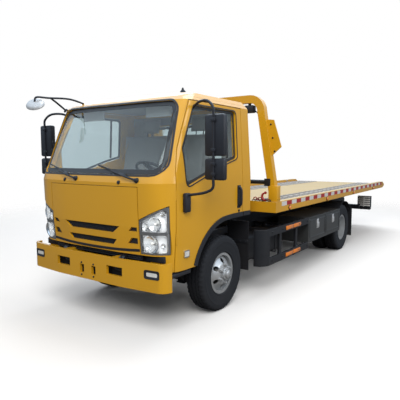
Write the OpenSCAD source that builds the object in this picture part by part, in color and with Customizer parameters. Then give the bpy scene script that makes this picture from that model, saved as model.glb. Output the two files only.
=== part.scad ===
// Flatbed recovery truck: a light cab-over lorry with a tilting, sliding bed and a towing arm.
// Millimetres, +X to the truck's left, +Y to its rear, +Z up, standing on its wheels.
// Places along Y are measured from the front axle and shifted to the middle of the truck at the end.

/* [Layout] */
// Front axle to rear axle
wheelbase = 3815; // [3700:5:3900]
// Front axle to the face of the front bumper
front_reach = 1115; // [1105:1:1130]
// Front axle to the rear face of the towing crossbar
rear_reach = 6800; // [6760:5:6850]

/* [Wheels] */
// Tyre outside diameter
tyre_d = 805; // [775:5:815]
// Tyre section width
tyre_w = 215; // [195:1:220]
// Rim seat diameter
rim_d = 406; // [390:1:420]
// Front track between tyre middles
front_track = 1504; // [1490:1:1515]
// Rear track between the middles of the twin tyres
rear_track = 1425; // [1415:1:1435]
// Distance between the two tyres of a twin
twin_pitch = 250; // [240:1:260]

/* [Chassis] */
// Width over the two frame rails
frame_w = 750; // [740:1:760]
// Rail height
rail_h = 200; // [180:1:215]
// Rail flange width
rail_flange = 70; // [60:1:75]
// Rail plate thickness
rail_t = 8; // [6:0.5:10]
// Top of the rails above the road
rail_top = 740; // [735:1:744]
// Front axle to the rear end of the rails
rail_rear = 5800; // [5790:1:5815]

/* [Cab] */
// Cab width
cab_w = 1810; // [1790:1:1820]
// Front axle to the most forward line of the cab
cab_nose = 1075; // [1065:1:1080]
// Front axle to the back wall
cab_rear = 490; // [480:1:510]
// Underside of the doors and of the front steps
sill_z = 600; // [590:1:610]
// Underside of the cab behind the wheel arch
cab_bottom = 985; // [980:1:1000]
// Top of the roof
roof_z = 2275; // [2260:1:2300]
// Thickness of walls and doors
wall = 60; // [50:1:70]
// Front axle forward to the front edge of the doors
door_front = 845; // [835:1:850]
// Front axle back to the rear edge of the doors
door_rear = 310; // [300:1:320]
// Gap round doors and panels
panel_gap = 8; // [6:0.5:10]
// Radius of the wheel arch round the front axle
arch_r = 575; // [570:1:580]

/* [Bed] */
// Bed width
bed_w = 2100; // [2080:1:2120]
// Front axle to the front of the bed
bed_front = 860; // [850:1:900]
// Bed length
bed_len = 5740; // [5650:5:5800]
// Deck surface above the road
deck_z = 1040; // [1036:1:1044]
// Top of the side rails above the road
side_top = 1100; // [1090:1:1110]
// Height of the side rails
side_h = 130; // [120:1:135]
// Top of the head arch above the road
arch_top = 2380; // [2340:1:2420]

/* [Tilting gear] */
// Front axle to the tilt pivot
pivot_y = 5750; // [5740:1:5760]
// Tilt pivot above the road
pivot_z = 690; // [680:1:700]
// Diameter of the tilt pivot shaft
pivot_d = 60; // [50:1:70]
// Bore of the lift cylinders' barrels
lift_barrel_d = 84; // [70:1:90]
// Diameter of the lift cylinders' rods
lift_rod_d = 45; // [35:1:50]
// Travel of the bed along its frame
slide_travel = 3100; // [3000:10:3150]

/* [Hidden] */
$fn = 48;

// Shared fits and helpers
seat_gap = 0.3;      // pieces of one body that seat on each other
run_gap = 0.05;      // radial play of a pin or a rod in its bore
move_gap = 6;        // room between pieces that pass each other
overrun = 20;        // how far a cut runs past the piece
mid_y = (rear_reach - front_reach) / 2;
axle_z = tyre_d / 2;
rail_x = frame_w / 2;
rail_bottom = rail_top - rail_h;

module from_axle() { translate([0, -mid_y, 0]) children(); }
module both() {
    children();
    mirror([1, 0, 0]) children();
}
module on_side(side) {
    if (side > 0) children();
    else mirror([1, 0, 0]) children();
}
// A box from its lowest to its highest corner
module block(low, high) { translate(low) cube(high - low); }
// A round bar along X or Y between two places
module bar_x(x0, x1, y, z, d) { translate([x0, y, z]) rotate([0, 90, 0]) cylinder(d = d, h = x1 - x0); }
module bar_y(y0, y1, x, z, d) { translate([x, y0, z]) rotate([-90, 0, 0]) cylinder(d = d, h = y1 - y0); }
// A side outline, as [y, z] points, drawn out along X
module side_prism(x0, x1, points) {
    translate([x0, 0, 0]) rotate([90, 0, 90]) linear_extrude(height = x1 - x0) polygon(points);
}
// A front outline, as [x, z] points, drawn out along Y
module front_prism(y0, y1, points) {
    translate([0, y1, 0]) rotate([90, 0, 0]) linear_extrude(height = y1 - y0) polygon(points);
}
// A closed outline with its corners rounded to a radius, in a number of steps
function rounded(points, r, steps) = let (n = len(points)) [
    for (i = [0 : n - 1]) let (
        p = points[i],
        u = (points[(i + n - 1) % n] - p) / norm(points[(i + n - 1) % n] - p),
        v = (points[(i + 1) % n] - p) / norm(points[(i + 1) % n] - p),
        half = acos(u * v) / 2,
        c = p + (u + v) / norm(u + v) * r / sin(half),
        a = p + u * r / tan(half) - c,
        b = p + v * r / tan(half) - c,
        start = atan2(a[1], a[0]),
        turn = atan2(a[0] * b[1] - a[1] * b[0], a * b))
    for (k = [0 : steps]) c + r * [cos(start + turn * k / steps), sin(start + turn * k / steps)]];
// A round rod between two points
module rod(a, b, d) {
    v = b - a;
    flat = norm([v[0], v[1]]);
    translate(a) rotate([0, atan2(flat, v[2]), atan2(v[1], v[0])]) cylinder(d = d, h = norm(v));
}

// Frame: two pressed channel rails, cross-members, cab pivot ears and the tilt shaft
rail_front = 880;
cross_h = 120;
cross_t = 60;
fan_gap = 46.975;
cross_y_shares = [0.23, 0.42, 0.56, 1.12];
function cross_ys() = concat([-engine_len * engine_front_share - fan_gap - cross_t],
                             [for (s = cross_y_shares) s * wheelbase]);
cab_pivot_y = 1020;
cab_pivot_z = 690;
cab_pivot_d = 40;
cab_ear_t = 20;
cab_ear_r = 34;
lift_foot_y = 3400;
lift_foot_z = 600;
lift_x = 240;
lift_pin_d = 40;
foot_ear_t = 16;
foot_ear_r = 38;
rest_y = 380;
rest_t = 70;
module rail() {
    block([rail_x - rail_t, -rail_front, rail_bottom], [rail_x, rail_rear, rail_top]);
    for (z = [rail_bottom, rail_top - rail_t])
        block([rail_x - rail_flange, -rail_front, z], [rail_x, rail_rear, z + rail_t]);
}
module cab_ear() {
    difference() {
        union() {
            block([rail_x, -cab_pivot_y, cab_pivot_z - cab_ear_r],
                  [rail_x + cab_ear_t, -rail_front + rail_h, cab_pivot_z + cab_ear_r]);
            bar_x(rail_x, rail_x + cab_ear_t, -cab_pivot_y, cab_pivot_z, cab_ear_r * 2);
        }
        bar_x(rail_x - overrun, rail_x + cab_ear_t + overrun, -cab_pivot_y, cab_pivot_z,
              cab_pivot_d + run_gap * 2);
    }
}
// Cheeks that carry the lift cylinders' lower pins
module lift_foot() {
    x0 = lift_x - lift_barrel_d / 2 - foot_ear_t;
    for (x = [x0, lift_x + lift_barrel_d / 2])
        block([x, lift_foot_y - foot_ear_r, lift_foot_z - foot_ear_r],
              [x + foot_ear_t, lift_foot_y + foot_ear_r * 2, lift_foot_z + foot_ear_r]);
    bar_x(x0, lift_x + lift_barrel_d / 2, lift_foot_y, lift_foot_z, lift_pin_d);
}
module chassis_frame() {
    color("#1b1c1e") from_axle() {
        both() {
            rail();
            cab_ear();
            lift_foot();
            block([rail_x - rest_t, rest_y, rail_top - rail_t],
                    [rail_x, rest_y + rest_t, cab_bottom - move_gap]);
        }
        block([-rail_x, rest_y, cab_bottom - move_gap - rest_t / 2],
              [rail_x, rest_y + rest_t, cab_bottom - move_gap]);
        for (y = cross_ys())
            block([-rail_x + rail_t, y, rail_top - rail_t - cross_h],
                  [rail_x - rail_t, y + cross_t, rail_top - rail_t]);
        block([-rail_x, -rail_front, rail_bottom], [rail_x, -rail_front + rail_t, rail_top]);
        block([-rail_x + rail_t, lift_foot_y + foot_ear_r * 2, rail_bottom + rail_t],
              [rail_x - rail_t, lift_foot_y + foot_ear_r * 2 + cross_t, rail_top - rail_t]);
        bar_x(-rail_x + rail_t, rail_x - rail_t, pivot_y, pivot_z, pivot_d);
        block([-rail_x + rail_t, boom_y - cross_t / 2, rail_bottom + rail_t],
              [rail_x - rail_t, boom_y + cross_t / 2, rail_top - rail_t]);
        both() block([boom_w / 2 + boom_ear_gap, boom_y - boom_h / 2, boom_z - boom_h / 2],
                     [boom_w / 2 + boom_ear_gap + boom_ear_t, boom_y + boom_h / 2, rail_top - rail_t]);
        bar_x(-boom_w / 2 - boom_ear_gap, boom_w / 2 + boom_ear_gap, boom_y, boom_z, boom_pin_d);
    }
}

// Axles, springs and drive line
beam_t = 80;
beam_h = 85;
beam_drop = 70;
kingpin_x = 660;
kingpin_d = 40;
boss_d = 84;
boss_h = 110;
spring_x = 338;
spring_w = 65;
leaf_t = 40;
leaf_span = 620;
front_camber = 105;
rear_camber = 20;
hanger_t = 70;
module front_axle() {
    low = axle_z - beam_drop - beam_h;
    knee = kingpin_x - boss_d / 2 - beam_drop * 2;
    neck = kingpin_x - boss_d / 2 - move_gap;
    color("#242527") from_axle() difference() {
        union() {
            front_prism(-beam_t / 2, beam_t / 2, [
                [-knee, low], [knee, low], [neck, axle_z - boss_h / 2], [kingpin_x, axle_z - boss_h / 2],
                [kingpin_x, axle_z + boss_h / 2], [neck, axle_z + boss_h / 2],
                [knee - beam_drop / 2, low + beam_h], [-knee + beam_drop / 2, low + beam_h],
                [-neck, axle_z + boss_h / 2], [-kingpin_x, axle_z + boss_h / 2],
                [-kingpin_x, axle_z - boss_h / 2], [-neck, axle_z - boss_h / 2]]);
            both() translate([kingpin_x, 0, axle_z - boss_h / 2]) cylinder(d = boss_d, h = boss_h);
        }
        both() translate([kingpin_x, 0, axle_z - boss_h])
            cylinder(d = kingpin_d + run_gap * 2, h = boss_h * 2);
    }
}
diff_d = 300;
diff_w = 230;
axle_tube_d = 110;
stub_d = 70;
// Half of the axle casing's bulge. Columns: radius and distance from the middle, as shares
diff_shares = [[0.45, 1.0], [0.72, 0.62], [0.92, 0.34], [1.0, 0.15]];
module rear_axle() {
    stub = rear_track / 2 + twin_pitch / 2;
    color("#242527") from_axle() {
        bar_x(-rear_track / 2 + twin_pitch, rear_track / 2 - twin_pitch, wheelbase, axle_z, axle_tube_d);
        bar_x(-stub, stub, wheelbase, axle_z, stub_d);
        translate([0, wheelbase, axle_z]) turned(concat(
            [[0, -diff_w]], [for (s = diff_shares) [s[0] * diff_d / 2, -s[1] * diff_w]],
            [for (i = [len(diff_shares) - 1 : -1 : 0]) [diff_shares[i][0] * diff_d / 2,
                    diff_shares[i][1] * diff_w]],
            [[0, diff_w]]));
        bar_y(wheelbase - diff_w, wheelbase, 0, axle_z, stub_d * 2);
    }
}
// One bowed leaf pack with its two hangers; seat is the underside at the axle
module leaf_pack(y, seat, camber) {
    bow = (leaf_span * leaf_span + camber * camber) / (2 * camber);
    module leaf(span, level) {
        intersection() {
            translate([spring_x - spring_w / 2, y, seat + level + bow]) rotate([0, 90, 0]) difference() {
                cylinder(r = bow, h = spring_w, $fn = 96);
                translate([0, 0, -overrun]) cylinder(r = bow - leaf_t / 2, h = spring_w + overrun * 2,
                        $fn = 96);
            }
            block([spring_x - spring_w, y - span, seat + level],
                    [spring_x + spring_w, y + span, seat + camber + leaf_t * 2]);
        }
    }
    leaf(leaf_span, leaf_t / 2);
    leaf(leaf_span * helper_leaf_share, 0);
    for (e = [-1, 1]) block([spring_x - spring_w / 2, y + e * leaf_span - hanger_t / 2, seat + camber],
                            [spring_x + spring_w / 2, y + e * leaf_span + hanger_t / 2,
                                    rail_bottom - seat_gap]);
}
module leaf_springs() {
    color("#242527") from_axle() both() {
        leaf_pack(0, axle_z - beam_drop + seat_gap, front_camber);
        leaf_pack(wheelbase, axle_z + axle_tube_d / 2 + seat_gap, rear_camber);
    }
}
helper_leaf_share = 0.6;
engine_w = 520;
engine_len = 950;
engine_h = 470;
engine_low = 455;
engine_front_share = 0.55;
gearbox_w = 300;
gearbox_len = 420;
prop_d = 76;
yoke_len = 60;
module engine() {
    front = -engine_len * engine_front_share;
    color("#4a4c4f") from_axle() {
        block([-engine_w / 2, front, engine_low],
                [engine_w / 2, front + engine_len, engine_low + engine_h]);
        block([-gearbox_w / 2, front + engine_len, engine_low],
              [gearbox_w / 2, front + engine_len + gearbox_len, engine_low + gearbox_w / 2]);
    }
}
module drive_shaft() {
    start = engine_len * (1 - engine_front_share) + gearbox_len + seat_gap;
    end = wheelbase - diff_w - seat_gap;
    color("#242527") from_axle() {
        bar_y(start, start + yoke_len, 0, engine_low + gearbox_w / 4, prop_d);
        rod([0, start + yoke_len / 2, engine_low + gearbox_w / 4], [0, end - yoke_len / 2, axle_z],
                prop_d - rail_t);
        bar_y(end - yoke_len, end, 0, axle_z, prop_d);
    }
}
tank_len = 900;
tank_w = 360;
tank_h = 330;
tank_y = 780;
tank_r = 60;
tank_drop = 55;
module round_box(x0, x1, y0, y1, z0, z1, r) {
    translate([x0 + r, y0, z0 + r]) rotate([90, 0, 0]) translate([0, 0,
            y0 - y1]) linear_extrude(height = y1 - y0)
        union() {
            for (x = [0, x1 - x0 - r * 2], z = [0, z1 - z0 - r * 2]) translate([x, z]) circle(r = r);
            translate([0, -r]) square([x1 - x0 - r * 2, z1 - z0]);
            translate([-r, 0]) square([x1 - x0, z1 - z0 - r * 2]);
        }
}
module fuel_tank() {
    color("#2a2b2d") from_axle() round_box(rail_x + seat_gap, rail_x + tank_w, tank_y, tank_y + tank_len,
                                           rail_top - tank_drop - tank_h, rail_top - tank_drop, tank_r);
}
battery_len = 560;
battery_w = 330;
battery_h = 300;
module battery_box() {
    color("#242527") from_axle() block([-rail_x - battery_w, tank_y, rail_top - tank_drop - battery_h],
                                       [-rail_x - seat_gap, tank_y + battery_len, rail_top - tank_drop]);
}

// Plan outline with a bowed front and round front corners, as [x, y] points
corner_steps = 5;
function plan_half(half, nose, rear, bow, corner) = concat(
    [[half, rear]],
    [for (i = [0 : corner_steps]) let (a = -90 * i / corner_steps)
        [half - corner + corner * cos(a), -nose + bow + corner + corner * sin(a)]],
    [[(half - corner) / 2, -nose + bow / 4]]);
function flip(points) = [for (i = [len(points) - 1 : -1 : 0]) [-points[i][0], points[i][1]]];
function plan(half, nose, rear, bow, corner) =
    let (half_points = plan_half(half, nose, rear, bow, corner)) concat(half_points, flip(half_points));

// Front bumper: a pressed shell that wraps round the corners, with lamp and towing openings
bumper_w = 1870;
bumper_top = 712;
bumper_low = 455;
bumper_t = 30;
bumper_depth = 153;
bumper_end = front_reach - bumper_depth;
bumper_bow = 50;
bumper_corner = 100;
bumper_lean = 22;
hole_x_share = 0.28;
hole_w = 200;
hole_h = 85;
hole_z = 590;
plate_slot_x = 82;
plate_slot_w = 60;
plate_slot_h = 84;
plate_slot_z = 552;
fog_x = 790;
fog_w = 150;
fog_h = 70;
fog_z = 612;
arm_w = 60;
module fog_opening(gap) {
    front_prism(-front_reach - overrun, -bumper_end + overrun, [
        [fog_x - fog_w / 2 - gap, fog_z - fog_h / 2 - gap],
                [fog_x + fog_w / 2 + gap, fog_z - fog_h / 2 - gap],
        [fog_x + fog_w / 2 + gap, fog_z + fog_h / 2 + gap],
                [fog_x - fog_w / 2 - gap, fog_z + fog_h / 2 + gap]]);
}
module bumper_shell(inset, thick) {
    difference() {
        translate([0, 0, bumper_low]) linear_extrude(height = bumper_top - bumper_low)
            polygon(plan(bumper_w / 2 - inset, front_reach - inset, -bumper_end, bumper_bow,
                    bumper_corner - inset));
        translate([0, 0, bumper_low - overrun]) linear_extrude(height = bumper_top - bumper_low + overrun * 2)
            polygon(plan(bumper_w / 2 - inset - thick, front_reach - inset - thick, -bumper_end + overrun,
                         bumper_bow, bumper_corner - inset - thick));
    }
}
module front_bumper() {
    color("#c8922a") from_axle() {
        difference() {
            bumper_shell(0, bumper_t);
            both() {
                fog_opening(seat_gap);
                block([hole_x_share * bumper_w / 2, -front_reach - overrun, hole_z - hole_h / 2],
                      [hole_x_share * bumper_w / 2 + hole_w, -bumper_end, hole_z + hole_h / 2]);
                block([plate_slot_x - plate_slot_w / 2, -front_reach - overrun,
                        plate_slot_z - plate_slot_h / 2],
                      [plate_slot_x + plate_slot_w / 2, -bumper_end, plate_slot_z + plate_slot_h / 2]);
            }
            side_prism(-bumper_w, bumper_w, [
                [-front_reach - overrun, bumper_low - overrun],
                        [-front_reach + bumper_lean, bumper_low - overrun],
                [-front_reach, bumper_low + bumper_lean * 2],
                        [-front_reach - overrun, bumper_low + bumper_lean * 2]]);
        }
        both() block([rail_x - rail_flange, -front_reach + bumper_t, bumper_top - arm_w],
                     [rail_x - rail_flange + arm_w, -rail_front - seat_gap, bumper_top]);
    }
}

// Lamps carried by the bumper and the frame: fog lamps in front, tail lamp boxes behind
tail_lamp_y = 5860;
tail_lamp_x = 640;
tail_lamp_w = 270;
tail_lamp_h = 245;
tail_lamp_d = 90;
tail_lamp_z = 550;
tail_arm_h = 60;
module chassis_lamps() {
    color("#2b2c2e") from_axle() both() {
        intersection() {
            bumper_shell(bumper_t / 6, bumper_t / 2);
            fog_opening(0);
        }
        block([tail_lamp_x, tail_lamp_y, tail_lamp_z],
              [tail_lamp_x + tail_lamp_w, tail_lamp_y + tail_lamp_d, tail_lamp_z + tail_lamp_h]);
        block([rail_x, tail_lamp_y - tail_arm_h * 2, tail_lamp_z],
              [tail_lamp_x + tail_arm_h, tail_lamp_y - tail_arm_h, tail_lamp_z + tail_arm_h]);
        block([tail_lamp_x, tail_lamp_y - tail_arm_h, tail_lamp_z],
              [tail_lamp_x + tail_arm_h, tail_lamp_y, tail_lamp_z + tail_arm_h]);
    }
}

// Side guards: two rails on posts, with an end plate that curves in behind the front wheel
side_x = 1040;
guard_y = 590;
guard_t = 30;
guard_rail_h = 85;
guard_top = 790;
guard_low = 360;
guard_end_r = 140;
guard_post_shares = [0.35, 0.72];
box_y = 1950;
box_wheel_gap = 72.5;
box_len = wheelbase - tyre_d / 2 - box_wheel_gap - box_y;
box_low = 430;
box_top = 785;
box_depth = 470;
box_wall = 20;
box_door_t = 24;
box_door_gap = 6;
box_mid_gap = 12;
box_margin = 25;
box_bracket_shares = [0.2, 0.8];
module side_guards() {
    rear = box_y - move_gap;
    color("#1e1f21") from_axle() both() {
        for (z = [guard_low, guard_top - guard_rail_h])
            block([side_x - guard_t, guard_y + guard_end_r, z], [side_x, rear, z + guard_rail_h]);
        translate([side_x - guard_end_r, guard_y + guard_end_r, guard_low]) intersection() {
            difference() {
                cylinder(r = guard_end_r, h = guard_top - guard_low);
                translate([0, 0, -overrun]) cylinder(r = guard_end_r - guard_t,
                        h = guard_top - guard_low + overrun * 2);
            }
            block([0, -guard_end_r * 2, 0], [guard_end_r * 2, 0, guard_top]);
        }
        for (s = guard_post_shares) {
            y = guard_y + s * (rear - guard_y);
            block([side_x - guard_t * 2, y, guard_low], [side_x - guard_t, y + guard_t * 2, guard_top]);
            block([rail_x, y, guard_top - guard_rail_h],
                    [side_x - guard_t * 2, y + guard_t, guard_top - guard_rail_h + guard_t]);
        }
    }
}
// Toolboxes: open-fronted steel boxes between the guard and the rear wheel
function box_door_y(i) = box_y + box_margin + i * (box_len - box_margin * 2 + box_mid_gap) / 2;
box_door_len = (box_len - box_margin * 2 - box_mid_gap) / 2;
module toolboxes() {
    inner = side_x - box_depth;
    color("#3c3e41") from_axle() both() {
        difference() {
            block([inner, box_y, box_low], [side_x, box_y + box_len, box_top]);
            for (i = [0, 1]) {
                y = box_door_y(i);
                block([inner + box_wall, y + box_margin / 2, box_low + box_margin * 2],
                      [side_x + overrun, y + box_door_len - box_margin / 2, box_top - box_margin * 2]);
                block([side_x - box_door_t - box_door_gap, y - box_door_gap,
                        box_low + box_margin - seat_gap],
                      [side_x + overrun, y + box_door_len + box_door_gap,
                              box_top - box_margin + box_door_gap]);
            }
        }
        for (s = box_bracket_shares) block([rail_x, box_y + s * box_len, rail_bottom + box_wall],
                                           [inner, box_y + s * box_len + box_wall * 3,
                                                   rail_bottom + box_wall * 4]);
    }
}
// Toolbox door, hinged along its lower edge on a round bead
box_hinge_d = 12;
box_hinge_x = side_x - box_hinge_d / 2;
box_hinge_z = box_low + box_margin + box_hinge_d / 2;
module box_door(side, i) {
    color("#4a4d50") from_axle() on_side(side) {
        y = box_door_y(i);
        block([side_x - box_door_t, y, box_low + box_margin + box_hinge_d],
              [side_x, y + box_door_len, box_top - box_margin]);
        bar_y(y, y + box_door_len, box_hinge_x, box_hinge_z, box_hinge_d);
        block([side_x - box_hinge_d, y, box_hinge_z],
                [side_x, y + box_door_len, box_hinge_z + box_hinge_d]);
    }
}
module box_door_front_left() { box_door(1, 0); }
module box_door_rear_left() { box_door(1, 1); }
module box_door_front_right() { box_door(-1, 0); }
module box_door_rear_right() { box_door(-1, 1); }

// Rear mudguards: bent sheets over the twin tyres with a rubber flap behind
guard_r = 462;
fender_t = 6;
fender_w = 500;
flap_low = 190;
flap_t = 8;
fender_angle_share = 0.62;
stay_angle = 50;
stay_d = 30;
module rear_mudguards() {
    outer = rear_track / 2 + twin_pitch / 2 + tyre_w / 2 + guard_t;
    drop = guard_r * cos(180 * fender_angle_share / 2);
    color("#1e1f21") from_axle() both() {
        intersection() {
            translate([outer - fender_w, wheelbase, axle_z]) rotate([0, 90, 0]) difference() {
                cylinder(r = guard_r, h = fender_w);
                translate([0, 0, -overrun]) cylinder(r = guard_r - fender_t, h = fender_w + overrun * 2);
            }
            block([0, wheelbase - guard_r * 2, axle_z + drop],
                    [outer * 2, wheelbase + guard_r * 2, axle_z + guard_r * 2]);
        }
        block([outer - fender_w, wheelbase + guard_r - flap_t * 2, flap_low],
              [outer, wheelbase + guard_r - flap_t, axle_z + drop + guard_t * 2]);
        for (a = [-stay_angle, stay_angle])
            bar_x(rail_x, outer - guard_t, wheelbase + (guard_r - fender_t / 2) * sin(a),
                  axle_z + (guard_r - fender_t / 2) * cos(a), stay_d);
        block([rail_x, wheelbase + guard_r - flap_t, rail_bottom + guard_t],
              [outer - guard_t, wheelbase + guard_r + guard_t, rail_bottom + guard_t * 2]);
    }
}

// Front mudflaps: rubber sheets behind the front wheels, on arms from the frame
front_flap_y = 500;
front_flap_in = 600;
front_flap_out = 880;
front_flap_low = 330;
front_flap_top = 900;
front_arm_z = 660;
module front_mudflaps() {
    arm_y = front_flap_y + flap_t + stay_d / 4;
    color("#1e1f21") from_axle() both() {
        block([front_flap_in, front_flap_y, front_flap_low],
                [front_flap_out, front_flap_y + flap_t, front_flap_top]);
        bar_x(rail_x, front_flap_out - guard_t, arm_y, front_arm_z, stay_d);
    }
}

// Steering knuckles: a fork round the beam's end, a kingpin and a spindle
fork_t = 30;
spindle_d = 50;
fork_gap = 0.5;
module knuckle(side) {
    reach = boss_h / 2 + fork_gap;
    color("#242527") from_axle() on_side(side) {
        translate([kingpin_x, 0, axle_z - reach - fork_t]) cylinder(d = kingpin_d,
                h = (reach + fork_t) * 2);
        for (z = [axle_z - reach - fork_t, axle_z + reach]) {
            translate([kingpin_x, 0, z]) cylinder(d = boss_d, h = fork_t);
            block([kingpin_x, -boss_d / 2, z], [kingpin_x + boss_d / 2 + fork_t, boss_d / 2, z + fork_t]);
        }
        block([kingpin_x + boss_d / 2 + move_gap, -boss_d / 2, axle_z - reach - fork_t],
              [kingpin_x + boss_d / 2 + fork_t, boss_d / 2, axle_z + reach + fork_t]);
        bar_x(kingpin_x + boss_d / 2 + move_gap, front_track / 2 + tyre_w / 2, 0, axle_z, spindle_d);
    }
}
module knuckle_left() { knuckle(1); }
module knuckle_right() { knuckle(-1); }

// Wheels: a pressed steel disc with hand holes in a rolled rim, and a radial tyre
rim_w = 160;
rim_t = 12;
rim_lip = 16;
disc_t = 12;
disc_dish = 118;
hub_d = 170;
hub_len = 70;
hand_holes = 6;
hand_hole_d = 52;
hand_hole_share = 0.71;
shoulder_r = 30;
bead_inset = 22;
module turned(points) { rotate([0, 90, 0]) rotate_extrude($fn = 96) polygon(points); }
// The tyre's section, as [radius, across] points
function tyre_points() = let (r0 = rim_d / 2 + seat_gap, r1 = tyre_d / 2, h = tyre_w / 2,
        s = shoulder_r) concat(
    [[r0, -h + bead_inset], [r0 + s, -h + bead_inset / 3], [(r0 + r1) / 2, -h],
            [r1 - s * 1.6, -h + bead_inset / 4]],
    [for (i = [0 : 4]) let (a = -80 + 80 * i / 4) [r1 - s + s * cos(a), -h + s * 1.3 + s * sin(a)]],
    [for (i = [4 : -1 : 0]) let (a = -80 + 80 * i / 4) [r1 - s + s * cos(a), h - s * 1.3 - s * sin(a)]],
    [[r1 - s * 1.6, h - bead_inset / 4], [(r0 + r1) / 2, h], [r0 + s, h - bead_inset / 3],
            [r0, h - bead_inset]]);
module tyre(x) {
    translate([x, 0, 0]) difference() {
        turned(tyre_points());
        turned([[0, -rim_w / 2], [rim_d / 2 + rim_lip + seat_gap, -rim_w / 2],
                [rim_d / 2 + rim_lip + seat_gap, -rim_w / 2 - rim_lip * 2],
                [0, -rim_w / 2 - rim_lip * 2]]);
        turned([[0, rim_w / 2], [rim_d / 2 + rim_lip + seat_gap, rim_w / 2],
                [rim_d / 2 + rim_lip + seat_gap, rim_w / 2 + rim_lip * 2],
                [0, rim_w / 2 + rim_lip * 2]]);
    }
}
// The rim barrel with its lips; across runs outward
module rim_barrel(x) {
    r = rim_d / 2;
    h = rim_w / 2;
    translate([x, 0, 0]) turned([
        [r + rim_lip, -h], [r, -h], [r, h], [r + rim_lip, h], [r + rim_lip, h + rim_lip / 2],
        [r - rim_t, h + rim_lip / 2], [r - rim_t, -h - rim_lip / 2], [r + rim_lip, -h - rim_lip / 2]]);
}
disc_bend_share = 0.62;
disc_rise_share = 0.92;
disc_edge_share = 0.35;
// The dished disc from the hub face out to the barrel; dish shifts the hub along the axle
module rim_disc(x, dish) {
    r = rim_d / 2 - rim_t;
    difference() {
        translate([x, 0, 0]) turned([
            [0, dish], [hub_d / 2, dish], [r * disc_bend_share, dish * disc_rise_share],
            [r, dish * disc_edge_share], [r, dish * disc_edge_share - disc_t],
            [r * disc_bend_share - disc_t / 4, dish * disc_rise_share - disc_t],
            [hub_d / 2, dish - disc_t], [0, dish - disc_t]]);
        for (i = [0 : hand_holes - 1]) rotate([i * 360 / hand_holes, 0, 0])
            translate([x - abs(dish) - overrun, 0, r * hand_hole_share]) rotate([0, 90, 0])
                cylinder(d = hand_hole_d, h = abs(dish) * 2 + overrun * 2);
    }
}
module wheel_place(side, y) { from_axle() on_side(side) translate([0, y, axle_z]) children(); }
module tyre_front(side) { color("#1c1c1d") wheel_place(side, 0) tyre(front_track / 2); }
module tyres_rear(side) {
    color("#1c1c1d") wheel_place(side,
            wheelbase) for (e = [-1, 1]) tyre(rear_track / 2 + e * twin_pitch / 2);
}
module rim_front(side) {
    x = front_track / 2;
    color("#9a9c9e") wheel_place(side, 0) difference() {
        union() {
            rim_barrel(x);
            rim_disc(x, disc_dish);
            translate([x + disc_dish - disc_t, 0, 0]) rotate([0, -90, 0]) cylinder(d = hub_d,
                    h = hub_len);
        }
        translate([x - rim_w, 0, 0]) rotate([0, 90, 0])
            cylinder(d = spindle_d + run_gap * 2, h = rim_w + tyre_w / 2 + move_gap);
    }
}
module rims_rear(side) {
    outer_x = rear_track / 2 + twin_pitch / 2;
    inner_x = rear_track / 2 - twin_pitch / 2;
    face = rear_track / 2;
    color("#9a9c9e") wheel_place(side, wheelbase) difference() {
        union() {
            rim_barrel(outer_x);
            rim_barrel(inner_x);
            rim_disc(outer_x, face - outer_x + disc_t);
            rim_disc(inner_x, face - inner_x);
            translate([face - hub_len, 0, 0]) rotate([0, 90, 0]) cylinder(d = hub_d, h = hub_len * 2);
        }
        translate([face - rim_w, 0, 0]) rotate([0, 90, 0])
            cylinder(d = stub_d + run_gap * 2, h = rim_w + twin_pitch / 2 + move_gap);
    }
}
module tyre_front_left() { tyre_front(1); }
module tyre_front_right() { tyre_front(-1); }
module tyres_rear_left() { tyres_rear(1); }
module tyres_rear_right() { tyres_rear(-1); }
module rim_front_left() { rim_front(1); }
module rim_front_right() { rim_front(-1); }
module rims_rear_left() { rims_rear(1); }
module rims_rear_right() { rims_rear(-1); }

// Cab body: one smooth shell lofted through level sections, cut into its panels
cab_bow = 40;
cab_corner = 240;
slab = 0.5;
// Columns: height, half width, nose, rear and corner radius, each as a share of the cab's own size
cab_section_shares = [
    [0.000, 0.990, 0.950, 1.00, 1.00],
    [0.240, 1.000, 0.988, 1.00, 1.00],
    [0.478, 1.000, 1.000, 1.00, 1.00],
    [0.514, 0.997, 0.984, 1.00, 1.00],
    [0.931, 0.955, 0.655, 0.97, 0.45],
    [0.976, 0.890, 0.545, 0.90, 0.50],
    [1.000, 0.700, 0.330, 0.62, 0.60]];
module cab_solid(inset) {
    height = roof_z - inset - slab - sill_z;
    hull() for (s = cab_section_shares)
        translate([0, 0, sill_z + s[0] * height]) linear_extrude(height = slab)
            polygon(plan(s[1] * cab_w / 2 - inset, s[2] * cab_nose - inset, s[3] * cab_rear - inset,
                         cab_bow, s[4] * cab_corner - inset));
}
module cab_skin(inset, thick) {
    difference() {
        cab_solid(inset);
        cab_solid(inset + thick);
    }
}
step_y = 930;
panel_low = 752;
panel_top = 1365;
lamp_corner = 37;
lamp_w = 260;
lamp_lap = 2;
lamp_outer = cab_w / 2 - lamp_corner;
lamp_inner = lamp_outer - lamp_w;
panel_half = lamp_inner + lamp_lap;
roof_split = 2190;
door_top = 2150;
door_belt = 1480;
door_bend = 1710;
door_lean = 245;
door_bend_lean = 55;
// Door outline, grown by a gap, as [y, z] points
function door_points(gap) = [
    [-door_front - gap, sill_z - overrun], [door_rear + gap, sill_z - overrun],
            [door_rear + gap, door_top + gap],
    [-door_front + door_lean - gap, door_top + gap], [-door_front + door_bend_lean - gap, door_bend],
    [-door_front - gap, door_belt]];
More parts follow.
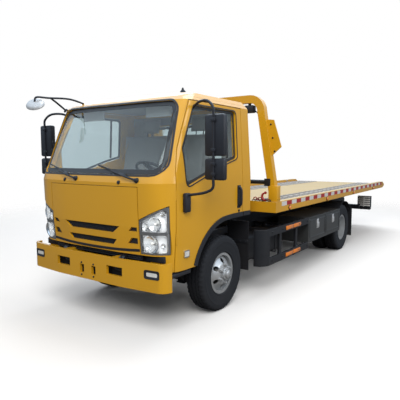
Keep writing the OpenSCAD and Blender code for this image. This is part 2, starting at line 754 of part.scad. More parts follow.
// Window outline in the door
door_in_share = 0.4;
screen_back_share = 0.4;
glass_depth_share = 0.4;
window_top = 2110;
window_rear = 205;
window_front = 700;
window_tip = 1360;
window_step = 30;
window_step_z = 1565;
window_low = 1620;
window_inset = 55;
window_r = 45;
window_steps = 4;
function window_points(gap) = rounded([
    [-window_front + gap, window_tip + gap], [-window_step, window_step_z + gap],
    [window_rear - gap, window_low + gap], [window_rear - gap, window_top - gap],
    [-door_front + door_lean + window_inset + gap, window_top - gap],
    [-door_front + door_bend_lean + window_inset + gap, door_bend]], window_r, window_steps);
windshield_low = 1475;
windshield_top = 2150;
windshield_post = 60;
windshield_taper = 60;
windshield_low_half = cab_w / 2 - windshield_post;
windshield_top_half = windshield_low_half - windshield_taper;
windshield_r = 110;
function windshield_points(gap) = rounded([
    [-windshield_low_half + gap, windshield_low + gap], [windshield_low_half - gap, windshield_low + gap],
    [windshield_top_half - gap, windshield_top - gap],
            [-windshield_top_half + gap, windshield_top - gap]],
    windshield_r, window_steps);
rear_window_low = 1560;
rear_window_top = 2020;
rear_window_side = 345;
rear_window_half = cab_w / 2 - rear_window_side;
function rear_window_points(gap) = rounded([
    [-rear_window_half + gap, rear_window_low + gap], [rear_window_half - gap, rear_window_low + gap],
    [rear_window_half - gap, rear_window_top - gap], [-rear_window_half + gap, rear_window_top - gap]],
    window_r, window_steps);
lamp_low = 762;
lamp_rise = 130;
lamp_top = 1205;
lamp_back = 30;
function lamp_points(gap) = [
    [lamp_inner + gap, lamp_low + gap], [lamp_outer - gap, lamp_low + gap],
    [lamp_outer - gap, lamp_top - gap], [lamp_inner + gap, lamp_top - lamp_rise - gap]];
front_cut_share = 0.72;
front_cut = cab_nose * front_cut_share;
module below_cab() {
    translate([0, 0, axle_z]) rotate([0, 90, 0]) cylinder(r = arch_r, h = cab_w * 2, center = true,
            $fn = 96);
    block([-cab_w, 0, 0], [cab_w, cab_rear * 2, cab_bottom]);
    block([-cab_w, -cab_nose * 2, 0], [cab_w, -step_y, panel_low]);
}
module cab_shell() {
    color("#c8922a") from_axle() difference() {
        cab_skin(0, wall);
        below_cab();
        block([-panel_half, -cab_nose * 2, 0], [panel_half, -front_cut, panel_top + panel_gap / 2]);
        both() {
            side_prism(cab_w * door_in_share, cab_w, door_points(panel_gap));
            front_prism(-cab_nose * 2, -door_front - lamp_back, lamp_points(0));
        }
        front_prism(-cab_nose * 2, -cab_rear * screen_back_share, windshield_points(0));
        front_prism(0, cab_rear * 2, rear_window_points(0));
        block([-cab_w, -cab_nose * 2, roof_split - seat_gap], [cab_w, cab_rear * 2, roof_z * 2]);
    }
}
module cab_roof() {
    color("#c8922a") from_axle() intersection() {
        cab_skin(0, wall);
        block([-cab_w, -cab_nose * 2, roof_split], [cab_w, cab_rear * 2, roof_z * 2]);
    }
}
// Grille slots. Columns: half width at the top and at the bottom as shares of the panel's half width,
// top and bottom edge as shares of the panel's height
slot_shares = [
    [0.630, 0.490, 0.405, 0.300],
    [0.557, 0.475, 0.200, 0.110]];
// Small slots at the panel's edges. Columns: inner side at the top and at the bottom, outer side, top, bottom
edge_slot_shares = [
    [0.865, 0.800, 0.960, 0.412, 0.350],
    [0.850, 0.772, 0.960, 0.250, 0.160]];
// A slanted side needs more than the level gap
side_gap_share = 3;
module slot_prism(s, gap) {
    top = panel_low + s[2] * (panel_top - panel_low) - gap;
    low = panel_low + s[3] * (panel_top - panel_low) + gap;
    top_half = s[0] * panel_half - gap * side_gap_share;
    low_half = s[1] * panel_half - gap * side_gap_share;
    front_prism(-cab_nose * 2, -front_cut,
            [[-low_half, low], [low_half, low], [top_half, top], [-top_half, top]]);
}
module edge_slot_prism(s, gap) {
    top = panel_low + s[3] * (panel_top - panel_low) - gap;
    low = panel_low + s[4] * (panel_top - panel_low) + gap;
    outer = s[2] * panel_half - gap;
    front_prism(-cab_nose * 2, -front_cut, [
        [s[1] * panel_half + gap * side_gap_share, low], [outer, low], [outer, top],
        [s[0] * panel_half + gap * side_gap_share, top]]);
}
bracket_x = 300;
bracket_z = 1220;
module front_panel() {
    color("#c8922a") from_axle() {
        difference() {
            intersection() {
                cab_skin(0, wall);
                block([-panel_half + panel_gap, -cab_nose * 2, panel_low],
                        [panel_half - panel_gap, -front_cut, panel_top]);
            }
            for (s = slot_shares) slot_prism(s, 0);
            both() for (s = edge_slot_shares) edge_slot_prism(s, 0);
        }
        both() block([bracket_x, -cab_nose + cab_bow, bracket_z],
                     [bracket_x + wall, -bulkhead_y - seat_gap, bracket_z + wall]);
    }
}
grille_set = 18;
grille_t = 8;
module grille() {
    color("#2b2c2e") from_axle() intersection() {
        cab_skin(grille_set, grille_t);
        union() {
            for (s = slot_shares) slot_prism(s, seat_gap);
            both() for (s = edge_slot_shares) edge_slot_prism(s, seat_gap);
        }
    }
}
lamp_set = 8;
module headlamps() {
    color("#d7dadc") from_axle() both() intersection() {
        cab_skin(lamp_set, wall - lamp_set * 2);
        front_prism(-cab_nose * 2, -door_front - lamp_back - seat_gap, lamp_points(seat_gap));
    }
}
glass_set = 12;
glass_t = 6;
module cab_glass() {
    color("#3a4a4e") from_axle() intersection() {
        cab_skin(glass_set, glass_t);
        union() {
            front_prism(-cab_nose * 2, -cab_rear * screen_back_share, windshield_points(seat_gap));
            front_prism(0, cab_rear * 2, rear_window_points(seat_gap));
        }
    }
}
// Floor pan: deck over the engine, two footwells with their walls, the bulkhead and pivot ears
floor_t = 30;
well_in = 470;
well_rear = 600;
well_out_gap = 50;
ear_point_share = 0.3;
bulkhead_top = 1380;
bulkhead_y = 930;
cab_ear_gap = 5;
module cab_floor() {
    side = cab_w / 2;
    ear0 = rail_x + cab_ear_t + cab_ear_gap;
    ear1 = ear0 + cab_ear_t * 1.5;
    color("#2a2b2d") from_axle() {
        difference() {
            intersection() {
                union() {
                    block([-side, -well_rear, cab_bottom], [side, cab_rear, cab_bottom + floor_t]);
                    block([-well_in, -bulkhead_y, cab_bottom],
                            [well_in, -well_rear, cab_bottom + floor_t]);
                    block([-side, -bulkhead_y, cab_bottom], [side, -bulkhead_y + floor_t, bulkhead_top]);
                    both() {
                        block([well_in - floor_t, -bulkhead_y, sill_z],
                                [side, -well_rear, sill_z + floor_t]);
                        block([well_in - floor_t, -bulkhead_y, sill_z],
                                [well_in, -well_rear, cab_bottom + floor_t]);
                        block([well_in - floor_t, -well_rear - floor_t, sill_z],
                                [side, -well_rear, cab_bottom + floor_t]);
                        block([well_in - floor_t, -bulkhead_y, sill_z],
                                [side, -bulkhead_y + floor_t, cab_bottom + floor_t]);
                    }
                }
                cab_solid(wall + seat_gap);
            }
            both() side_prism(cab_w / 2 - wall - well_out_gap, cab_w, door_points(panel_gap));
        }
        both() {
            side_prism(ear0, ear1, [
                [-bulkhead_y, cab_bottom], [-bulkhead_y - cab_ear_t / 2, cab_bottom],
                [-bulkhead_y - cab_ear_t / 2, panel_low - panel_gap],
                        [-cab_pivot_y + cab_ear_r, panel_low - panel_gap * 2],
                                [-cab_pivot_y - cab_ear_r * ear_point_share, cab_pivot_z + cab_ear_r],
                [-cab_pivot_y - cab_ear_r, cab_pivot_z], [-cab_pivot_y, cab_pivot_z - cab_ear_r],
                [-bulkhead_y, cab_pivot_z]]);
            bar_x(rail_x - cab_ear_gap, ear1, -cab_pivot_y, cab_pivot_z, cab_pivot_d);
            block([ear0, -bulkhead_y, cab_pivot_z], [well_in, -bulkhead_y + floor_t, cab_bottom]);
        }
    }
}

// Cab fittings seen through the glass
dash_rear = 600;
dash_low = 1090;
dash_top = 1400;
dash_gap = 8;
dash_slope_share = 0.3;
dash_lip_share = 0.4;
wheel_side = 535;
wheel_x = cab_w / 2 - wheel_side;
wheel_y = 520;
wheel_z = 1475;
wheel_d = 430;
wheel_rim_d = 30;
wheel_hub_d = 120;
wheel_hub_h = 46;
wheel_lean = 32;
column_d = 60;
column_len = 330;
column_gap = 6;
shaft_d = 32;
shaft_len = 90;
module on_column() {
    translate([wheel_x, -wheel_y, wheel_z]) rotate([-wheel_lean, 0, 0]) children();
}
module dashboard() {
    color("#2c2d30") from_axle() difference() {
        union() {
            intersection() {
                cab_solid(wall + dash_gap);
                side_prism(-cab_w / 2, cab_w / 2, [
                    [-bulkhead_y + floor_t + seat_gap, dash_low],
                            [-dash_rear - (dash_top - dash_low) * dash_slope_share, dash_low],
                    [-dash_rear, dash_top - (dash_top - dash_low) * dash_lip_share],
                            [-dash_rear - wall / 2, dash_top],
                    [-bulkhead_y + floor_t + seat_gap, dash_top]]);
            }
            on_column() translate([0, 0, -column_len]) cylinder(d = column_d,
                    h = column_len - wheel_hub_h / 2 - column_gap);
        }
        both() side_prism(cab_w * door_in_share, cab_w, door_points(panel_gap));
        on_column() translate([0, 0, -wheel_hub_h / 2 - shaft_len - column_gap])
            cylinder(d = shaft_d + run_gap * 2, h = shaft_len * 2);
    }
}
module steering_wheel() {
    color("#1f2022") from_axle() on_column() {
        rotate_extrude($fn = 64) translate([wheel_d / 2 - wheel_rim_d / 2, 0]) circle(d = wheel_rim_d);
        translate([0, 0, -wheel_hub_h / 2]) cylinder(d = wheel_hub_d, h = wheel_hub_h);
        translate([0, 0, -wheel_hub_h / 2 - shaft_len]) cylinder(d = shaft_d,
                h = shaft_len + wheel_hub_h / 2);
        for (a = [0, 180]) rotate([0, 0, a])
            block([0, -wheel_rim_d, -wheel_rim_d / 4],
                    [wheel_d / 2 - wheel_rim_d / 2, wheel_rim_d, wheel_rim_d / 4]);
        block([-wheel_rim_d, -wheel_d / 2 + wheel_rim_d / 2, -wheel_rim_d / 4],
                [wheel_rim_d, 0, wheel_rim_d / 4]);
    }
}
seat_w = 520;
seat_len = 520;
seat_t = 150;
seat_base_h = 170;
seat_back_h = 620;
seat_back_t = 130;
seat_front = 270;
seat_lean = 10;
bench_gap = 90;
head_w = 270;
head_h = 190;
module seat(x0, x1) {
    floor_z = cab_bottom + floor_t;
    block([x0 + seat_t / 2, -seat_front + seat_t / 2, floor_z + seat_gap],
          [x1 - seat_t / 2, -seat_front + seat_len - seat_t, floor_z + seat_base_h + overrun]);
    block([x0, -seat_front, floor_z + seat_base_h],
            [x1, -seat_front + seat_len, floor_z + seat_base_h + seat_t]);
    translate([0, -seat_front + seat_len - seat_back_t - overrun * 2,
            floor_z + seat_base_h + seat_t - overrun]) rotate([-seat_lean, 0, 0]) {
        block([x0 + overrun / 2, 0, 0], [x1 - overrun / 2, seat_back_t, seat_back_h]);
        block([(x0 + x1 - head_w) / 2, seat_back_t / 4, seat_back_h - overrun],
              [(x0 + x1 + head_w) / 2, seat_back_t * 3 / 4, seat_back_h + head_h]);
    }
}
module seats() {
    inner = cab_w / 2 - wall * 2;
    color("#55585c") from_axle() {
        seat(wheel_x - seat_w / 2, wheel_x + seat_w / 2);
        seat(-inner, wheel_x - seat_w / 2 - bench_gap);
    }
}

// Wipers and the round mirror that shows the road before the bumper
wiper_x_shares = [-0.21, 0.66];
wiper_nose_share = 0.985;
wiper_len = 560;
wiper_d = 14;
wiper_z = 1425;
wiper_lean = 31;
wiper_sweep = 82;
wiper_lift = 14;
module wipers() {
    color("#1a1a1b") from_axle() difference() {
        for (s = wiper_x_shares) translate([s * cab_w / 2, -cab_nose * wiper_nose_share - wiper_lift,
                wiper_z]) {
            rotate([-90, 0, 0]) cylinder(d = wiper_d * 2, h = wall);
            rotate([-wiper_lean, 0, 0]) rotate([0, -wiper_sweep, 0]) cylinder(d = wiper_d, h = wiper_len);
        }
        cab_solid(-seat_gap);
    }
}
front_mirror_side = 55;
front_mirror_x = cab_w / 2 - front_mirror_side;
front_mirror_y = 1030;
front_mirror_z = 2190;
front_mirror_d = 190;
front_mirror_t = 60;
front_mirror_tube = 20;
front_mirror_foot_in = 250;
front_mirror_foot_x = front_mirror_x - front_mirror_foot_in;
front_mirror_foot_y = 520;
front_mirror_brace_x = 300;
front_mirror_brace_share = 0.4;
front_mirror_lean = 60;
module front_view_mirror() {
    head = [-front_mirror_x, -front_mirror_y, front_mirror_z];
    foot = [-front_mirror_foot_x, -front_mirror_foot_y, roof_split + wall / 4];
    color("#2b2c2e") from_axle() {
        translate(head) rotate([front_mirror_lean, 0, 0]) cylinder(d = front_mirror_d,
                h = front_mirror_t, center = true);
        difference() {
            union() {
                rod(foot, head, front_mirror_tube);
                rod(foot + [front_mirror_brace_x, 0, 0],
                        head + (foot - head) * front_mirror_brace_share, front_mirror_tube);
            }
            cab_solid(-seat_gap);
        }
    }
}

// Doors with their glass and the outside mirrors they carry
hinge_d = 12;
hinge_h = 90;
hinge_zs = [850, 1250];
module door(side) {
    color("#c8922a") from_axle() on_side(side) {
        difference() {
            intersection() {
                cab_skin(0, wall);
                side_prism(cab_w * door_in_share, cab_w, door_points(0));
            }
            below_cab();
            side_prism(0, cab_w, window_points(0));
        }
        for (z = hinge_zs) translate([cab_w / 2 - hinge_d, -door_front, z]) cylinder(d = hinge_d,
                h = hinge_h);
    }
}
module door_left() { door(1); }
module door_right() { door(-1); }
module door_glass(side) {
    color("#3a4a4e") from_axle() on_side(side) intersection() {
        cab_skin(wall * glass_depth_share, glass_t);
        side_prism(cab_w * door_in_share, cab_w, window_points(seat_gap));
    }
}
module door_glass_left() { door_glass(1); }
module door_glass_right() { door_glass(-1); }
mirror_out = 275;
mirror_x = cab_w / 2 + mirror_out;
mirror_y = 690;
mirror_w = 205;
mirror_tube = 22;
mirror_depth = 75;
mirror_main_z = 1640;
mirror_main_h = 360;
mirror_wide_z = 1430;
mirror_wide_h = 190;
mirror_arm_d = 24;
mirror_pad_t = 40;
mirror_pad_w = 80;
mirror_pad_z = 1135;
mirror_pad_h = 175;
// Bends of the upper and of the lower arm. Columns: out from the cab's side, forward of the axle, up
mirror_upper_bends = [[-65, 540, 2075], [65, 605, 2125], [190, 660, 2120], [275, 690, 2050], [275, 690, 1980]];
mirror_lower_bends = [[275, 690, 1440], [267, 690, 1360], [185, 698, 1318], [55, 722, 1295], [-35, 730, 1285]];
module bent_rod(bends, d) {
    for (i = [1 : len(bends) - 1]) let (
        a = [cab_w / 2 + bends[i - 1][0], -bends[i - 1][1], bends[i - 1][2]],
        b = [cab_w / 2 + bends[i][0], -bends[i][1], bends[i][2]],
        way = (b - a) / norm(b - a))
        rod(a - way * d / 4, b + way * d / 4, d);
}
module mirrors(side) {
    tube_low = mirror_wide_z - mirror_tube;
    tube_top = mirror_main_z + mirror_main_h + mirror_tube;
    color("#232426") from_axle() on_side(side) {
        for (m = [[mirror_main_z, mirror_main_h], [mirror_wide_z, mirror_wide_h]])
            round_box(mirror_x - mirror_w / 2, mirror_x + mirror_w / 2,
                    -mirror_y + mirror_tube / 2 - seat_gap,
                      -mirror_y + mirror_depth, m[0], m[0] + m[1], mirror_tube * 1.4);
        difference() {
            union() {
                translate([mirror_x, -mirror_y, tube_low]) cylinder(d = mirror_tube,
                        h = tube_top - tube_low);
                bent_rod(mirror_upper_bends, mirror_arm_d);
                bent_rod(mirror_lower_bends, mirror_arm_d);
                block([cab_w / 2 - wall, -mirror_y - mirror_pad_w, mirror_pad_z],
                      [cab_w / 2 + mirror_pad_t, -mirror_y, mirror_pad_z + mirror_pad_h]);
            }
            cab_solid(-seat_gap);
        }
    }
}
module mirrors_left() { mirrors(1); }
module mirrors_right() { mirrors(-1); }

// Tilting subframe: two box beams over the rails with cross-members, slide pads and pivot knuckles
tilt_beam_w = 80;
tilt_beam_h = 120;
tilt_gap = 5;
tilt_front = 950;
tilt_rear = 5950;
pad_h = 5;
pad_len = 300;
tilt_low = rail_top + tilt_gap;
tilt_top = tilt_low + tilt_beam_h;
tilt_cross_h = 90;
tilt_cross_y_shares = [0.0, 0.16, 0.52, 0.70, 0.85, 0.944];
pad_y_shares = [0.0, 0.30, 0.62, 0.94];
knuckle_x = 205;
knuckle_w = 70;
knuckle_r = 54;
lift_eye_y = 2350;
lift_eye_z = 800;
eye_cheek_r = 60;
// Cross-members that carry the slide cylinder
saddle_cross = [1, 2];
tail_relief = 60;
tail_relief_h = 72;
tilt_x = frame_w / 2 - rail_flange;
module tilt_frame() {
    span = tilt_rear - tilt_front;
    beam_in = tilt_x;
    color("#1b1c1e") from_axle() {
        both() {
            side_prism(beam_in, beam_in + tilt_beam_w, [
                [tilt_front, tilt_low], [pivot_y - tail_relief, tilt_low],
                        [tilt_rear, tilt_low + tail_relief_h],
                [tilt_rear, tilt_top], [tilt_front, tilt_top]]);
            for (s = pad_y_shares) block([beam_in, tilt_front + s * span, tilt_top],
                                         [beam_in + tilt_beam_w, tilt_front + s * span + pad_len,
                                                 tilt_top + pad_h]);
            difference() {
                union() {
                    bar_x(knuckle_x, knuckle_x + knuckle_w, pivot_y, pivot_z, knuckle_r * 2);
                    block([knuckle_x, pivot_y - knuckle_r, pivot_z],
                            [knuckle_x + knuckle_w, pivot_y + knuckle_r, tilt_low + tilt_gap]);
                }
                bar_x(0, rail_x, pivot_y, pivot_z, pivot_d + run_gap * 2);
            }
            for (x = [lift_x - lift_barrel_d / 2 - foot_ear_t, lift_x + lift_barrel_d / 2])
                block([x, lift_eye_y - eye_cheek_r * 2, lift_eye_z - eye_cheek_r],
                      [x + foot_ear_t, lift_eye_y + eye_cheek_r, tilt_low + tilt_cross_h]);
            block([lift_x + lift_barrel_d / 2, lift_eye_y - eye_cheek_r * 2, tilt_low],
                    [beam_in, lift_eye_y + eye_cheek_r, tilt_low + tilt_cross_h]);
        }
        for (s = tilt_cross_y_shares)
            block([-beam_in, tilt_front + s * span, tilt_low],
                    [beam_in, tilt_front + s * span + cross_t * 2, tilt_low + tilt_cross_h]);
        block([-beam_in, lift_eye_y - eye_cheek_r * 3, tilt_low],
                [beam_in, lift_eye_y - eye_cheek_r * 2, tilt_low + tilt_cross_h]);
        for (i = saddle_cross) block([-slide_d / 2, tilt_front + tilt_cross_y_shares[i] * span, tilt_low],
                                     [slide_d / 2, tilt_front + tilt_cross_y_shares[i] * span + cross_t * 2,
                                      slide_z - slide_d / 2 - seat_gap]);
    }
}

// Lift cylinders: barrels hinged on the frame, rods that push the tilting frame up
lift_dy = lift_eye_y - lift_foot_y;
lift_dz = lift_eye_z - lift_foot_z;
lift_len = norm([lift_dy, lift_dz]);
lift_angle = atan2(lift_dz, -lift_dy);
lift_barrel_share = 0.78;
lift_wall = 10;
lift_eye_w = 60;
gland_len = 60;
module on_lift() { translate([lift_x, lift_foot_y, lift_foot_z]) rotate([90 - lift_angle, 0,
        0]) children(); }
module lift_barrels() {
    top = lift_len * lift_barrel_share;
    color("#1f2022") from_axle() both() on_lift() difference() {
        union() {
            translate([-lift_eye_w / 2, 0, 0]) rotate([0, 90, 0]) cylinder(d = foot_ear_r * 2,
                    h = lift_eye_w);
            cylinder(d = lift_barrel_d - move_gap * 2, h = top);
        }
        translate([-lift_eye_w, 0, 0]) rotate([0, 90, 0]) cylinder(d = lift_pin_d + run_gap * 2,
                h = lift_eye_w * 2);
        translate([0, 0, foot_ear_r * 1.5]) cylinder(d = lift_rod_d + lift_wall,
                h = top - foot_ear_r * 1.5 - gland_len);
        translate([0, 0, foot_ear_r * 2]) cylinder(d = lift_rod_d + run_gap * 2, h = top);
    }
}
module lift_rods() {
    color("#c9ccd0") from_axle() both() on_lift() {
        translate([0, 0, foot_ear_r * 1.5 + lift_wall]) cylinder(d = lift_rod_d,
                h = lift_len - foot_ear_r * 1.5 - lift_wall);
        translate([-lift_eye_w / 2, 0, lift_len]) rotate([0, 90, 0]) cylinder(d = foot_ear_r * 2,
                h = lift_eye_w);
    }
}

// Slide cylinder: a long barrel on the tilting frame whose rod pushes the bed back
slide_z = 900;
slide_d = 70;
slide_rod_d = 40;
slide_front = 1150;
slide_spare = 180;
slide_len = slide_travel + slide_spare;
slide_eye_r = 32;
module slide_barrel() {
    color("#1f2022") from_axle() {
        difference() {
            bar_y(slide_front, slide_front + slide_len, 0, slide_z, slide_d);
            bar_y(slide_front + gland_len, slide_front + slide_len - gland_len, 0, slide_z,
                    slide_rod_d + lift_wall);
            bar_y(slide_front + gland_len, slide_front + slide_len + overrun, 0, slide_z,
                    slide_rod_d + run_gap * 2);
        }
    }
}
module slide_rod() {
    rear = slide_front + slide_len + slide_eye_r * 2;
    color("#c9ccd0") from_axle() {
        bar_y(slide_front + gland_len + lift_wall, rear, 0, slide_z, slide_rod_d);
        bar_x(-slide_eye_r, slide_eye_r, rear + slide_eye_r, slide_z, slide_eye_r * 1.6);
        bar_y(rear, rear + slide_eye_r, 0, slide_z, slide_rod_d);
    }
}

// Bed: deck plate on cross-members and two slide beams, with side rails and a tapered tail
bed_tail = bed_front + bed_len;
slide_play = 0.5;
bed_beam_w = 80;
bed_beam_h = 90;
bed_beam_low = tilt_top + pad_h + slide_play;
deck_t = 12;
bed_cross_w = 70;
bed_cross_count = 12;
side_w = 80;
tail_taper = 330;
tail_edge = 30;
tail_corner = 180;
bed_head_t = 60;
floor_front = 1400;
floor_step = 4;
floor_edge = 30;
tail_steps = 5;
// Rounded corner at the tail of the deck, as [x, y] points of the left half
function tail_round(half) = [for (i = [1 : tail_steps]) let (a = 90 * i / tail_steps)
    [half - tail_corner + tail_corner * cos(a), bed_tail - tail_corner + tail_corner * sin(a)]];
module bed_deck() {
    cross_span = bed_len - tail_taper - bed_head_t - bed_cross_w;
    cross_low = bed_beam_low + bed_beam_h;
    half = bed_w / 2;
    side_low = side_top - side_h;
    rear_eye = slide_front + slide_len + slide_eye_r * 3;
    color("#d9a83c") from_axle() {
        translate([0, 0, deck_z - deck_t]) linear_extrude(height = deck_t) polygon(concat(
            [[half - side_w, bed_front], [half - side_w, bed_tail - tail_corner]],
                    tail_round(half - side_w),
            flip(tail_round(half - side_w)),
                    [[-half + side_w, bed_tail - tail_corner], [-half + side_w, bed_front]]));
        block([-half + side_w + floor_edge, floor_front, deck_z - deck_t / 2],
              [half - side_w - floor_edge, bed_tail - tail_corner, deck_z + floor_step]);
        block([-half, bed_front, side_top - side_h], [half, bed_front + bed_head_t, side_top]);
        both() {
            side_prism(half - side_w, half, [
                [bed_front, side_low], [bed_tail - tail_taper, side_low],
                        [bed_tail - tail_corner, deck_z - tail_edge],
                [bed_tail - tail_corner, deck_z], [bed_tail - tail_taper, side_top],
                        [bed_front, side_top]]);
            block([frame_w / 2 - bed_beam_w / 2 - rail_flange / 2, bed_front + bed_head_t, bed_beam_low],
                  [frame_w / 2 + bed_beam_w / 2 - rail_flange / 2, bed_tail - tail_taper * 2, cross_low]);
            block([slide_eye_r, rear_eye - slide_eye_r, slide_z - slide_eye_r],
                  [slide_eye_r + foot_ear_t, rear_eye + slide_eye_r, cross_low]);
        }
        for (i = [0 : bed_cross_count]) {
            y = bed_front + bed_head_t + i * cross_span / bed_cross_count;
            block([-half + side_w, y, cross_low], [half - side_w, y + bed_cross_w, deck_z - deck_t]);
        }
        block([-lift_x, rear_eye - slide_eye_r, cross_low],
                [lift_x, rear_eye + slide_eye_r, deck_z - deck_t]);
    }
}

// Head arch: box posts that lean in, a bar across with bent corners, a lower rail and lamp ears
post_w = 95;
post_d = 80;
arch_foot = 1045;
arch_shoulder = 860;
arch_bend = 200;
arch_bend_steps = 6;
arch_y = 935;
arch_rail_z = 1330;
arch_rail_d = 48;
ear_t = 14;
ear_w = 105;
// Corners of a lamp ear. Columns: along the post's lean, out in ear widths, up the arch
ear_shares = [[0.50, -0.13, 0.42], [0.42, 1.00, 0.51], [1.00, 1.05, 0.76], [1.00, -0.13, 0.77]];
// Outer line of the arch, set in by an inset, as [x, z] points of the left half
function arch_half(inset) = concat(
    [[arch_foot - inset, side_top]],
    [for (i = [0 : arch_bend_steps]) let (a = 90 * i / arch_bend_steps)
        [arch_shoulder - arch_bend + (arch_bend - inset) * cos(a),
                arch_top - arch_bend + (arch_bend - inset) * sin(a)]]);
module head_arch() {
    h = arch_top - side_top;
    color("#c8922a") from_axle() {
        difference() {
            front_prism(arch_y - post_d / 2, arch_y + post_d / 2,
                    concat(arch_half(0), flip(arch_half(0))));
            front_prism(arch_y - post_d, arch_y + post_d, concat(
                [[arch_foot - post_w, side_top - overrun]], arch_half(post_w), flip(arch_half(post_w)),
                [[-arch_foot + post_w, side_top - overrun]]));
        }
        both() front_prism(arch_y - ear_t / 2, arch_y + ear_t / 2, [for (e = ear_shares)
            [arch_foot - e[0] * (arch_foot - arch_shoulder) + e[1] * ear_w, side_top + e[2] * h]]);
        bar_x(-arch_foot + post_w, arch_foot - post_w, arch_y, arch_rail_z, arch_rail_d);
    }
}
// Winch on the deck behind the arch: drum between side plates, gear case and motor
winch_y = 1130;
winch_half = 260;
drum_d = 130;
flange_d = 210;
flange_t = 16;
winch_z = 1190;
winch_base_t = 14;
winch_foot_share = 0.6;
winch_motor_d = 120;
winch_motor_len = 190;
module winch() {
    color("#2b2c2e") from_axle() {
        bar_x(-winch_half, winch_half, winch_y, winch_z, drum_d);
        for (x = [-winch_half, winch_half - flange_t]) bar_x(x, x + flange_t, winch_y, winch_z, flange_d);
        for (x = [-winch_half - flange_t * 2, winch_half]) block([x, winch_y - flange_d / 2,
                deck_z + winch_base_t],
                                                             [x + flange_t * 2, winch_y + flange_d / 2,
                                                                     winch_z + drum_d / 2]);
        bar_x(winch_half, winch_half + winch_motor_len, winch_y, winch_z, winch_motor_d);
        block([-winch_half - flange_t * 4, winch_y - flange_d * winch_foot_share, deck_z],
              [winch_half + flange_t * 4, winch_y + flange_d * winch_foot_share, deck_z + winch_base_t]);
    }
}

// Towing arm: a boom hinged below the frame's tail and a sliding crossbar with wheel cradles
boom_inset = 500;
boom_y = rail_rear - boom_inset;
boom_z = 460;
boom_w = 130;
boom_h = 120;
crossbar_w = 110;
boom_share = 118 / 139;
boom_end = boom_y + (rear_reach - crossbar_w - boom_y) * boom_share;
boom_pin_d = 50;
boom_ear_t = 20;
boom_ear_gap = 5;
boom_wall = 12;
stinger_gap = 0.4;
crossbar_half = 700;
crossbar_h = 100;
socket_x = 500;
socket_d = 50;
cradle_w = 70;
cradle_h = 150;
module tow_boom() {
    color("#1b1c1e") from_axle() difference() {
        union() {
            block([-boom_w / 2, boom_y, boom_z - boom_h / 2],
                    [boom_w / 2, boom_end, boom_z + boom_h / 2]);
            bar_x(-boom_w / 2, boom_w / 2, boom_y, boom_z, boom_h);
        }
        bar_x(-boom_w, boom_w, boom_y, boom_z, boom_pin_d + run_gap * 2);
        block([-boom_w / 2 + boom_wall, boom_y + boom_h, boom_z - boom_h / 2 + boom_wall],
              [boom_w / 2 - boom_wall, boom_end + overrun, boom_z + boom_h / 2 - boom_wall]);
    }
}
module tow_crossbar() {
    inner_x = boom_w / 2 - boom_wall - stinger_gap;
    inner_z = boom_h / 2 - boom_wall - stinger_gap;
    front = rear_reach - crossbar_w;
    color("#1b1c1e") from_axle() {
        block([-inner_x, boom_y + boom_h + overrun, boom_z - inner_z],
                [inner_x, front, boom_z + inner_z]);
        difference() {
            block([-crossbar_half, front, boom_z - crossbar_h / 2],
                    [crossbar_half, rear_reach, boom_z + crossbar_h / 2]);
            both() translate([socket_x, (front + rear_reach) / 2,
                    boom_z - crossbar_h]) cylinder(d = socket_d, h = crossbar_h * 2);
        }
        both() block([crossbar_half - cradle_w, front, boom_z - crossbar_h / 2],
                [crossbar_half, rear_reach, boom_z + cradle_h / 2]);
    }
}

chassis_frame();
front_axle();
rear_axle();
leaf_springs();
drive_shaft();
engine();
fuel_tank();
battery_box();
front_bumper();
chassis_lamps();
side_guards();
toolboxes();
rear_mudguards();
front_mudflaps();
knuckle_left();
knuckle_right();
tyre_front_left();
tyre_front_right();
tyres_rear_left();
tyres_rear_right();
rim_front_left();
rim_front_right();
rims_rear_left();
rims_rear_right();
cab_shell();
cab_roof();
cab_floor();
front_panel();
grille();
headlamps();
cab_glass();
dashboard();
seats();
wipers();
front_view_mirror();
steering_wheel();
door_left();
door_right();
door_glass_left();
door_glass_right();
mirrors_left();
mirrors_right();
tilt_frame();
lift_barrels();
lift_rods();
slide_barrel();
slide_rod();
bed_deck();
head_arch();
winch();
tow_boom();
tow_crossbar();
box_door_front_left();
box_door_rear_left();
box_door_front_right();
box_door_rear_right();
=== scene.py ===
import math

import bmesh
import bpy
from mathutils import Matrix, Vector
from mathutils.bvhtree import BVHTree


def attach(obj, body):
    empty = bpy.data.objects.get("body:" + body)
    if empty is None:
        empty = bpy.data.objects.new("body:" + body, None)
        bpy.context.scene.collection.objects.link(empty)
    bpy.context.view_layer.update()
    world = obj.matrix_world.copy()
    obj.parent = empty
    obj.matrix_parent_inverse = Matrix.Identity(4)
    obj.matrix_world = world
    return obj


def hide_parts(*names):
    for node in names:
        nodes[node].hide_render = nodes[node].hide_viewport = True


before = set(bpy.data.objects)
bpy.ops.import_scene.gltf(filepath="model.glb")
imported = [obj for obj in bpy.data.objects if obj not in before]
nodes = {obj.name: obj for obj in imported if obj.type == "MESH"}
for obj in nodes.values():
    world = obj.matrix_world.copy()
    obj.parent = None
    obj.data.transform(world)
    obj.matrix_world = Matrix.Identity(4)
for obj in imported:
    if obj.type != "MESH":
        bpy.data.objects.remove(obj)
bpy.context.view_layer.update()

# Chassis frame: two pressed channel rails and their cross-members, bolted together and dipped in
# black chassis paint. The paint is satin, dusty towards the road and rubbed bright along its edges.
AXLE_Y = -2.8425          # the front axle's place in the shared frame


def at(x, y, z):
    """A place measured from the front axle, on the road, in metres."""
    return Vector((x, y + AXLE_Y, z))


def add(tree, kind, sockets=(), **settings):
    """A shader node with its settings, and with its sockets set or linked."""
    new = tree.nodes.new("ShaderNode" + kind)
    for key, value in settings.items():
        setattr(new, key, value)
    for key, value in dict(sockets).items():
        if isinstance(value, bpy.types.NodeSocket):
            tree.links.new(value, new.inputs[key])
        else:
            new.inputs[key].default_value = value
    return new


